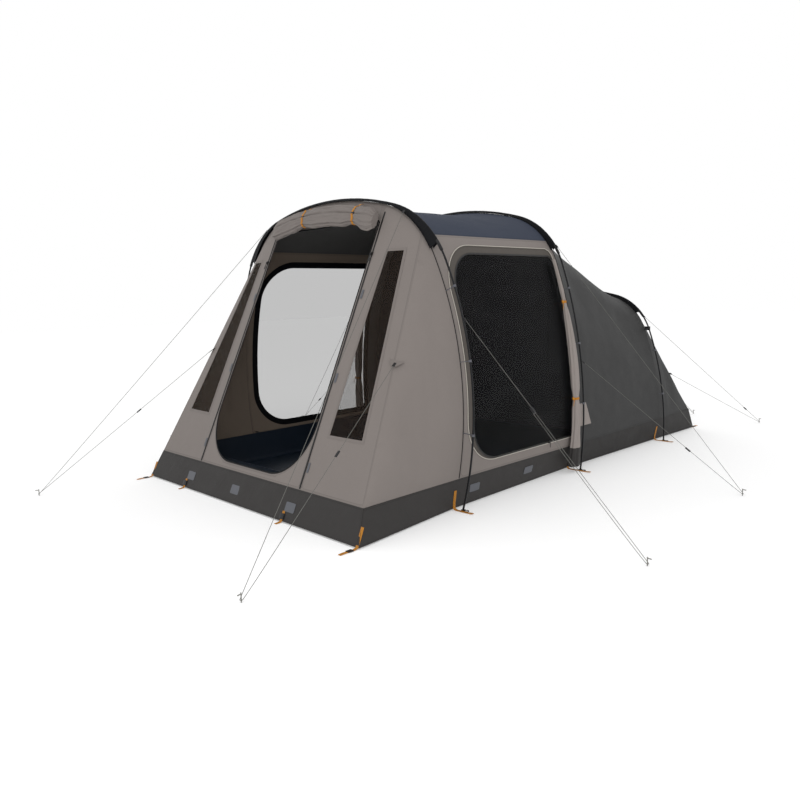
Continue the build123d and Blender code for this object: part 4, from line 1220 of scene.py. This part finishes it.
def front_roll_section(x, grow=0.0, count=36):
    """One closed section of the rolled door: flat, with long creases, drawn in a little by its ties."""
    centre = Vector((x, ROLL_Y, ROLL_ARC_Z + sqrt(ROLL_ARC**2 - x * x)))
    near_tie = min(abs(x - tie) for tie in FRONT_TIES)
    pinch = 1 - 0.12 * (1 - smooth(near_tie, 0.11))
    end = ROLL_ENDS[1] - x if x > 0 else x - ROLL_ENDS[0]
    tuck = 1 - 0.35 * (1 - smooth(end, 0.05))
    sag = 0.017 * smooth(near_tie, 0.13) + 0.01 * smooth(x - 0.4, 0.15)
    sag += 0.005 * ripple(centre, 71, 0.1, 1, 1)
    made = []
    for i in range(count):
        a = 2 * pi * i / count
        drift = 1.1 * ripple(Vector((x, 0, 0)), 74, 0.22, 1, 1)
        fold = 0.0072 * (abs(sin(5.5 * a + drift)) - 0.6)
        fold += 0.0048 * (abs(sin(9 * a - 2.1 * drift)) - 0.6)
        fold += 0.004 * ripple(Vector((x, a, 0)), 73, 0.06, 0.25, 1)
        flat = (tent().roll_thick / 2 * tuck + fold) * pinch + grow
        tall = (tent().roll_high / 2 * tuck + fold) * pinch + grow
        down = sin(a) * (tall + (sag if sin(a) > 0 else -0.3 * sag))
        made.append(centre + ROLL_OUT * cos(a) * flat + ROLL_SLOPE * down)
    return made


def side_roll_section(z, sign, grow=0.0, count=30):
    """One closed section of a rolled side door: slim at the top and flared at its foot."""
    arch = CLOTH[1]
    out = 0.035
    angle = arch.angle(z, out)
    centre = arch.point(angle, out)
    centre.y = -0.0245
    normal = Vector((cos(angle), 0, sin(angle)))
    near_tie = min(abs(z - tie) for tie in SIDE_TIES)
    pinch = 1 - 0.3 * (1 - smooth(near_tie, 0.1))
    wide = 0.013 + 0.027 * smooth(1.61 - z, 0.9) + 0.022 * smooth(0.36 - z, 0.3)
    deep = 0.012 + 0.014 * smooth(1.61 - z, 0.8) + 0.01 * smooth(0.34 - z, 0.3)
    made = []
    for i in range(count):
        a = 2 * pi * i / count
        fold = 0.004 * ripple(Vector((z, a, 0)), 82, 0.5, 0.3, 1)
        fold += 0.0085 * (abs(cos(3 * a + 2.4 * z)) - 0.6) * smooth(1.62 - z, 0.7)
        made.append(
            centre + normal * cos(a) * ((deep + fold * 0.7) * pinch + grow)
            + Vector((0, -1, 0)) * sin(a) * ((wide + fold) * pinch + grow)
        )
    return [Vector((sign * p.x, p.y, p.z)) for p in made]


class TENT_OT_rolls(bpy.types.Operator):
    """Rolls up the front door and the outer side doors and ties them"""

    bl_idname = "tent.rolls"
    bl_label = "Rolled doors"

    def execute(self, context):
        roll = Build()
        roll.ring([front_roll_section(x, 0.0, 96) for x in spaced(*ROLL_ENDS, 0.009)], False, True)
        piece = roll.make("rolled_front_cloth", "wall polyester")
        settle(piece, "wall_cloth", "rolled_front_door")
        for side, sign in SIDES.items():
            heights = spaced(0.052, 1.6, 0.016)
            roll = Build()
            roll.ring([side_roll_section(z, sign, 0.0, 60) for z in heights], False, True)
            roll.ring(self.corner(sign), False, True)
            # The rolls take the wall cloth painted lighter, as painted light, above the skirt
            piece = roll.make(f"{side}_rolled_side_cloth", "pale taupe polyester", "skirt oxford")
            for face in piece.data.polygons:
                face.material_index = 1 if face.center.z < 0.2 else 0
            settle(piece, "wall_cloth", *(["rolled_side_doors"] if sign > 0 else []))
        return {"FINISHED"}

    def corner(self, sign):
        """The loose corner of a side door, hanging out behind the middle pole."""
        arch, thick = CLOTH[1], 0.0016
        rows = []
        for z, reach in ((0.51, 0.1), (0.45, 0.128), (0.38, 0.158), (0.34, 0.178), (0.335, 0.178)):
            at = arch.point(arch.angle(z, 0.004), 0.004)
            rows.append([
                Vector((sign * (at.x + out), arch.y + along, z))
                for out, along in ((0.0, -0.03), (0.0, reach), (thick, reach), (thick, -0.03))
            ])
        return rows


class TENT_OT_ties(bpy.types.Operator):
    """Ties the rolled doors with orange webbing, small buckles and toggles"""

    bl_idname = "tent.ties"
    bl_label = "Door ties"

    def execute(self, context):
        ties = Build()
        for x in FRONT_TIES:
            rows = [front_roll_section(x + d, 0.003) for d in (-0.007, 0.007)]
            route = [mix(a, b, 0.5) for a, b in zip(*rows)]
            ties.strap(route, Vector((1, 0, 0)), 0.02, 0.0016, closed=True)
            top = route[27]
            tail = [top, top + Vector((0, 0.02, 0.012)), top + Vector((0, 0.045, 0.014))]
            ties.strap(curve(tail, 5), Vector((1, 0, 0)), 0.02, 0.0016)
        for sign in SIDES.values():
            for z in SIDE_TIES:
                route = side_roll_section(z, sign, 0.0022)
                ties.strap(route, Vector((0, 0, 1)), 0.018, 0.0016, closed=True)
                start = route[7]
                tail = [start, start + Vector((sign * 0.012, -0.012, -0.012)),
                        start + Vector((sign * 0.012, -0.02, -0.05))]
                ties.strap(curve(tail, 5), Vector((0, 0.4, 0.2)), 0.006, 0.0012)
        piece = ties.make("door_tie_webbing", "orange webbing")
        settle(piece, "tie", "door_ties")
        for x in FRONT_TIES:
            front = front_roll_section(x, 0.0045)[0]
            self.buckle(f"tie_buckle_{'left' if x < 0 else 'right'}", front)
        for x in HEM_LOOPS:
            name = "hem_buckle_left" if x < 0 else "hem_buckle_right"
            self.buckle(name, Vector((x, FRONT_HEM + 0.0085, 0.037)), 1.5)
        for side, sign in SIDES.items():
            for z in SIDE_TIES:
                spot = side_roll_section(z, sign, 0.006)[7] + Vector((0, -0.004, 0.004))
                self.toggle(f"{side}_toggle_{round(z * 1000)}", spot)
        return {"FINISHED"}

    def buckle(self, name, at, grown=1.0):
        """A ladder buckle: a plate, inset and cut through, with its rim rounded."""
        bpy.ops.object.select_all(action="DESELECT")
        bpy.ops.mesh.primitive_cube_add(size=1, location=(0, 0, 0))
        piece = bpy.context.object
        piece.name = name
        piece.scale = (0.028 * grown, 0.005 * grown, 0.024 * grown)
        bpy.ops.object.transform_apply(location=False, rotation=False, scale=True)
        bpy.ops.object.mode_set(mode="EDIT")
        bpy.ops.mesh.select_all(action="DESELECT")
        mesh = bmesh.from_edit_mesh(piece.data)
        for face in mesh.faces:
            face.select = abs(face.normal.y) > 0.9
        bmesh.update_edit_mesh(piece.data)
        bpy.ops.mesh.inset(thickness=0.006 * grown, depth=0)
        bpy.ops.mesh.bridge_edge_loops()
        bpy.ops.mesh.select_all(action="SELECT")
        bpy.ops.mesh.bevel(offset=0.0009, segments=2)
        bpy.ops.mesh.normals_make_consistent(inside=False)
        bpy.ops.object.mode_set(mode="OBJECT")
        tilt = Matrix.Rotation(-atan2(LEAN_RUN, LEAN_FALL), 4, "X")
        piece.data.transform(Matrix.Translation(at) @ tilt)
        piece.data.materials.append(bpy.data.materials["acetal plastic"])
        settle(piece, "tie")

    def toggle(self, name, at):
        """A small round-ended toggle with a waist for its cord."""
        bpy.ops.object.select_all(action="DESELECT")
        bpy.ops.mesh.primitive_uv_sphere_add(
            segments=20, ring_count=12, radius=0.0085, location=(0, 0, 0)
        )
        piece = bpy.context.object
        piece.name = name
        bpy.ops.object.mode_set(mode="EDIT")
        mesh = bmesh.from_edit_mesh(piece.data)
        bpy.ops.mesh.select_all(action="DESELECT")
        for vert in mesh.verts:
            vert.select = abs(vert.co.z) < 0.0015
        mesh.select_flush_mode()
        bmesh.update_edit_mesh(piece.data)
        bpy.ops.transform.resize(value=(0.8, 0.8, 1))
        bpy.ops.mesh.select_all(action="SELECT")
        bpy.ops.transform.resize(value=(1, 1, 1.35))
        bpy.ops.object.mode_set(mode="OBJECT")
        piece.data.transform(Matrix.Translation(at))
        piece.data.materials.append(bpy.data.materials["orange toggle"])
        settle(piece, "tie")


class TENT_OT_groundsheet(bpy.types.Operator):
    """Lays the groundsheet tray with its turned-up sides"""

    bl_idname = "tent.groundsheet"
    bl_label = "Groundsheet"

    def execute(self, context):
        low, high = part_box("groundsheet")
        bpy.ops.object.select_all(action="DESELECT")
        bpy.ops.mesh.primitive_cube_add(size=1, location=(low + high) / 2)
        piece = bpy.context.object
        piece.name = "groundsheet_tray"
        piece.scale = high - low
        bpy.ops.object.transform_apply(location=True, rotation=False, scale=True)
        bpy.ops.object.mode_set(mode="EDIT")
        mesh = bmesh.from_edit_mesh(piece.data)
        bpy.ops.mesh.select_all(action="DESELECT")
        for edge in mesh.edges:
            edge.select = not all(v.co.z > 0.1 for v in edge.verts)
        bmesh.update_edit_mesh(piece.data)
        bpy.ops.mesh.bevel(offset=0.03, segments=4)
        mesh = bmesh.from_edit_mesh(piece.data)
        mesh.select_mode = {"FACE"}
        for face in mesh.faces:
            face.select = face.normal.z > 0.99
        bmesh.update_edit_mesh(piece.data)
        bpy.ops.mesh.delete(type="FACE")
        bpy.ops.mesh.select_all(action="SELECT")
        for _ in range(6):
            mesh = bmesh.from_edit_mesh(piece.data)
            long = [e for e in mesh.edges if e.calc_length() > 0.11]
            bmesh.ops.subdivide_edges(mesh, edges=long, cuts=1, use_grid_fill=True)
        bmesh.update_edit_mesh(piece.data)
        bpy.ops.mesh.quads_convert_to_tris()
        bpy.ops.object.mode_set(mode="OBJECT")
        faces = [tuple(f.vertices) for f in piece.data.polygons]
        points = [v.co.copy() for v in piece.data.vertices]
        bpy.data.objects.remove(piece)

        def crease(p, edge):
            if p.z > 0.03:
                return -0.004 * abs(ripple(p, 91, 0.2, 0.2, 0.2)) * smooth(0.23 - p.z, 0.05)
            return -0.004 * abs(ripple(p, 92, 0.3, 0.4, 1))

        uvs = [(p.x, p.y + p.z) for p in points]
        near = [max(0.0, high.z - p.z) for p in points]
        tray = thick_sheet(
            "groundsheet_tray", points, faces, uvs, near, crease,
            ("groundsheet polyethylene", "groundsheet polyethylene"), 0.0012, (0, 0, 0.12),
        )
        settle(tray, "groundsheet", "groundsheet")
        return {"FINISHED"}


class TENT_OT_inner(bpy.types.Operator):
    """Hangs the bedroom cell with its zipped front wall"""

    bl_idname = "tent.inner"
    bl_label = "Bedroom cell"

    def execute(self, context):
        first, second = CLOTH[1:]
        y0, y1 = first.y + 0.07, second.y - 0.04
        low = [a.angle(0.275) for a in (first, second)]

        def place(s, t):
            ends = [a.point(b + (pi - 2 * b) * t, -CELL_GAP) for a, b in zip((first, second), low)]
            p = mix(ends[0], ends[1], s)
            return Vector((p.x, mix(y0, y1, s), p.z))

        folds = soft_folds(101, 0.012, 0.3, 0.3, 0.3)
        shell = grid_sheet(
            "cell_cloth", place, spaced(0, 1, 0.05), spaced(0, 1, 0.0125),
            lambda p, edge: folds(p, edge) - sagged(p), ("inner tent cotton", "inner tent cotton"), 0.001,
        )
        settle(shell, "inner_cloth", "bedroom_inner_shell")
        angles = [low[0] + (pi - 2 * low[0]) * i / 90 for i in range(91)]
        top = [(p.x, p.z) for p in (first.point(angle, -CELL_GAP) for angle in angles)]
        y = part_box("bedroom_inner_front")[0].y

        def lay(x, z):
            return Vector((x, y, z))

        def crease(p, edge):
            return 0.0018 * smooth(edge, 0.15) * ripple(p, 103, 0.09, 1, 0.7)

        front = cut_sheet(
            "cell_front_cloth", top, [], lay, 0.045, crease,
            ("inner tent cotton", "inner tent cotton"), 0.001, (0, 3, 0.8),
        )
        settle(front, "inner_cloth", "bedroom_inner_front")
        zips = Build()
        for sign in SIDES.values():
            loop = rounded(0.12, 0.36, 0.9, 1.6, (0.06, 0.06, 0.34, 0.3))
            route = [Vector((sign * x, y - 0.0022, z)) for x, z in stepped(loop, 0.03)]
            zips.strap(route, Vector((1, 0, 0.3)), 0.004, 0.003, closed=True)
        settle(zips.make("cell_door_zips", "zip coil"), "inner_cloth")
        return {"FINISHED"}


class TENT_OT_webbing(bpy.types.Operator):
    """Sews on the pegging straps, the guy tabs and the inner fastenings"""

    bl_idname = "tent.webbing"
    bl_label = "Straps and tabs"

    def execute(self, context):
        self.straps()
        self.tabs()
        self.fastenings()
        return {"FINISHED"}

    def straps(self):
        """Straps from the skirt, through the buckle or ring, to a loop for the peg."""
        made = Build()
        width = tent().strap
        for arch, half, pole in zip(CLOTH, HEM_HALF[1:4], POLES):
            foot = pole.point(pole.angle(0.005)).x
            y = arch.y - 0.026
            for sign in SIDES.values():
                end = foot + 0.103
                lift = Vector((sign * 0.0025, 0, 0))
                sewn = [skirt_place(sign, y, k) + lift for k in (0.62, 0.4, 0.16)]
                route = curve([*sewn, (sign * (half + 0.014), y, 0.006),
                               (sign * (half + 0.06), y, 0.0022),
                               (sign * (end - 0.05), y, 0.003), (sign * end, y, 0.006)], 7)
                made.strap(route, Vector((0, 1, 0)), width, 0.0016)
        for y, half, out in ((FRONT_HEM, HEM_HALF[0], -1), (REAR_HEM, HEM_HALF[4], 1)):
            for sign in SIDES.values():
                x = sign * (half - 0.012)
                runs = ((-0.047, 0.112), (-0.006, 0.02), (0.012, 0.004), (0.05, 0.0016),
                        (0.085, 0.004), (0.1235, 0.002))
                route = curve([(x, y + out * along, z) for along, z in runs], 7)
                made.strap(route, Vector((1, 0, 0)), width, 0.0016)
        for x in HEM_LOOPS:
            route = curve([(x, FRONT_HEM + 0.026, 0.066), (x, FRONT_HEM - 0.001, 0.012),
                           (x, FRONT_HEM - 0.014, 0.003), (x, FRONT_HEM - 0.043, 0.0012)], 7)
            made.strap(route, Vector((1, 0, 0)), width, 0.0016)
        settle(made.make("pegging_straps", "orange webbing"), "tie", "peg_straps")

    def tabs(self):
        """A folded loop of black webbing where each guy starts, and cloth wings at the creases."""
        made = Build()
        wings = Build()
        for name, (route, _, far) in GUYS.items():
            ends = [(route[0], route[1], False)]
            if far == "object":
                ends.append((route[4], route[3], name != "side"))
            for at, to, wing in ends:
                for sign in SIDES.values():
                    tip = Vector((sign * at[0], at[1], at[2]))
                    away = (Vector((sign * to[0], to[1], to[2])) - tip).normalized()
                    root = tip - away * 0.026
                    out = Vector((sign * 0.5, at[1] / abs(at[1]), 0.4))
                    if name in ("porch", "side"):
                        out = Vector((sign, 0, 0.3))
                    out = (out - away * out.dot(away)).normalized()
                    across = away.cross(out)
                    middle, ply = mix(root, tip, 0.5), out * 0.0012
                    loop = [root, middle + ply, tip + ply, tip + away * 0.0035, tip - ply,
                            middle - ply, root - away * 0.001]
                    made.strap(curve(loop, 4), across, 0.015, 0.0011)
                    if wing:
                        rows = []
                        for k, w in ((-0.05, 0.052), (-0.02, 0.03), (0.0, 0.017)):
                            c = tip + away * k - out * 0.0016
                            low, high = c - across * w, c + across * w
                            rows.append([low, high, high - ply, low - ply])
                        wings.ring(rows, False, True, 0 if name == "front" else 1)
        settle(made.make("guy_tab_webbing", "black webbing"), "tab", "guy_tabs")
        settle(wings.make("guy_wings", "wall polyester", "bedroom polyester"), "tab")

    def fastenings(self):
        """Loops from the cloth to the tray, and from the roof to the bedroom cell."""
        made = Build()
        for arch in CLOTH:
            wall = arch.point(arch.angle(0.22)).x - 0.003
            for sign in SIDES.values():
                y = arch.y + 0.03
                route = curve([(sign * TRAY_EDGE, y, 0.2215),
                               (sign * mix(TRAY_EDGE, wall, 0.5), y, 0.2195),
                               (sign * wall, y, 0.2225)], 6)
                made.strap(route, Vector((0, 1, 0)), 0.02, 0.0014)
        for share in (0.12, 0.5, 0.88):
            y = CLOTH[1].y + 0.07 + (CLOTH[2].y - CLOTH[1].y - 0.11) * share
            fall = (y - CLOTH[1].y) / (CLOTH[2].y - CLOTH[1].y)
            top = mix(2.042, 1.3837, fall) - 0.006
            top -= sagged(Vector((0, y, top)))
            made.strap([Vector((0, y, top - 0.05)), Vector((0.002, y, top - 0.025)), Vector((0, y, top))],
                       Vector((1, 0, 0)), 0.012, 0.0014)
        settle(made.make("inner_fastening_webbing", "black webbing"), "tie", "inner_fastenings")


# --- Stage -----------------------------------------------------------------------------
class TENT_OT_stage(bpy.types.Operator):
    """Sets up the pale floor, the soft studio light and the camera"""

    bl_idname = "tent.stage"
    bl_label = "Studio"

    def execute(self, context):
        scene = context.scene
        scene.view_settings.view_transform = "Standard"
        bpy.ops.object.select_all(action="DESELECT")
        bpy.ops.mesh.primitive_plane_add(size=70, location=(0, 0, -0.0006))
        floor = context.object
        floor.name = "studio_floor"
        made, tree = new_finish("matt white paper")
        paper = add_node(
            tree, "ShaderNodeBsdfPrincipled",
            {"Base Color": (0.78, 0.78, 0.78, 1), "Roughness": 0.95, "Specular IOR Level": 0.0,
             "Emission Color": (1, 1, 1, 1), "Emission Strength": 0.24},
        )
        add_node(tree, "ShaderNodeOutputMaterial", {}, {"Surface": paper.outputs[0]})
        floor.data.materials.append(made)
        world = bpy.data.worlds.new("studio")
        scene.world = world
        world.use_nodes = True
        world.node_tree.nodes["Background"].inputs[0].default_value = (1, 1, 1, 1)
        world.node_tree.nodes["Background"].inputs[1].default_value = 1.0
        for name, at, aim, width, watts in (
            ("key", (4.6, -6.0, 3.2), (0, -0.8, 0.5), 4.0, 90),
            ("top", (-1.0, 0.5, 7.0), (0, 0, 0.5), 6.0, 25),
        ):
            lamp = bpy.data.lights.new(name, "AREA")
            lamp.energy = watts
            lamp.size = width
            light = bpy.data.objects.new(name, lamp)
            light.location = at
            light.rotation_euler = (Vector(aim) - Vector(at)).to_track_quat("-Z", "Y").to_euler()
            scene.collection.objects.link(light)
        self.camera(scene)
        return {"FINISHED"}

    def camera(self, scene):
        """A camera at eye height in front of the right corner."""
        lens = bpy.data.cameras.new("camera")
        lens.lens, lens.sensor_width = 32.07, 36
        lens.shift_x, lens.shift_y = -0.0219, -0.0294
        lens.dof.use_dof = False
        lens.clip_start, lens.clip_end = 0.1, 200
        eye = bpy.data.objects.new("camera", lens)
        yaw, pitch, roll = 0.783876567, 0.113727436, -0.026516083
        ahead = Vector((-sin(yaw) * cos(pitch), cos(yaw) * cos(pitch), -sin(pitch)))
        right = Vector((cos(yaw), sin(yaw), 0))
        up = right.cross(ahead)
        r = right * cos(roll) + up * sin(roll)
        u = up * cos(roll) - right * sin(roll)
        turn = Matrix((r, u, -ahead)).transposed().to_4x4()
        eye.matrix_world = Matrix.Translation((4.134198, -4.593168, 1.365033)) @ turn
        scene.collection.objects.link(eye)
        scene.camera = eye


class TENT_PT_panel(bpy.types.Panel):
    """Lists the tent's pieces in the sidebar"""

    bl_label = "Tunnel tent"
    bl_idname = "TENT_PT_panel"
    bl_space_type = "VIEW_3D"
    bl_region_type = "UI"
    bl_category = "Tent"

    def draw(self, context):
        for group in (context.scene.tent_sizes, context.scene.tent_colours):
            for name in group.__annotations__:
                self.layout.prop(group, name)
        for operator in OPERATORS:
            self.layout.operator(operator.bl_idname)


OPERATORS = (
    TENT_OT_finishes, TENT_OT_stage, TENT_OT_guys, TENT_OT_living_roof, TENT_OT_walls, TENT_OT_front,
    TENT_OT_gussets, TENT_OT_bedroom, TENT_OT_skirts, TENT_OT_patches, TENT_OT_sleeves, TENT_OT_rolls,
    TENT_OT_ties, TENT_OT_groundsheet, TENT_OT_webbing, TENT_OT_inner,
)
CLASSES = (TentSizes, TentColours, *OPERATORS, TENT_PT_panel)


def register():
    for item in CLASSES:
        bpy.utils.register_class(item)
    bpy.types.Scene.tent_sizes = PointerProperty(type=TentSizes)
    bpy.types.Scene.tent_colours = PointerProperty(type=TentColours)


def unregister():
    del bpy.types.Scene.tent_colours
    del bpy.types.Scene.tent_sizes
    for item in reversed(CLASSES):
        bpy.utils.unregister_class(item)


def main():
    register()
    for operator in OPERATORS:
        group, name = operator.bl_idname.split(".")
        getattr(getattr(bpy.ops, group), name)()


if __name__ == "__main__":
    main()
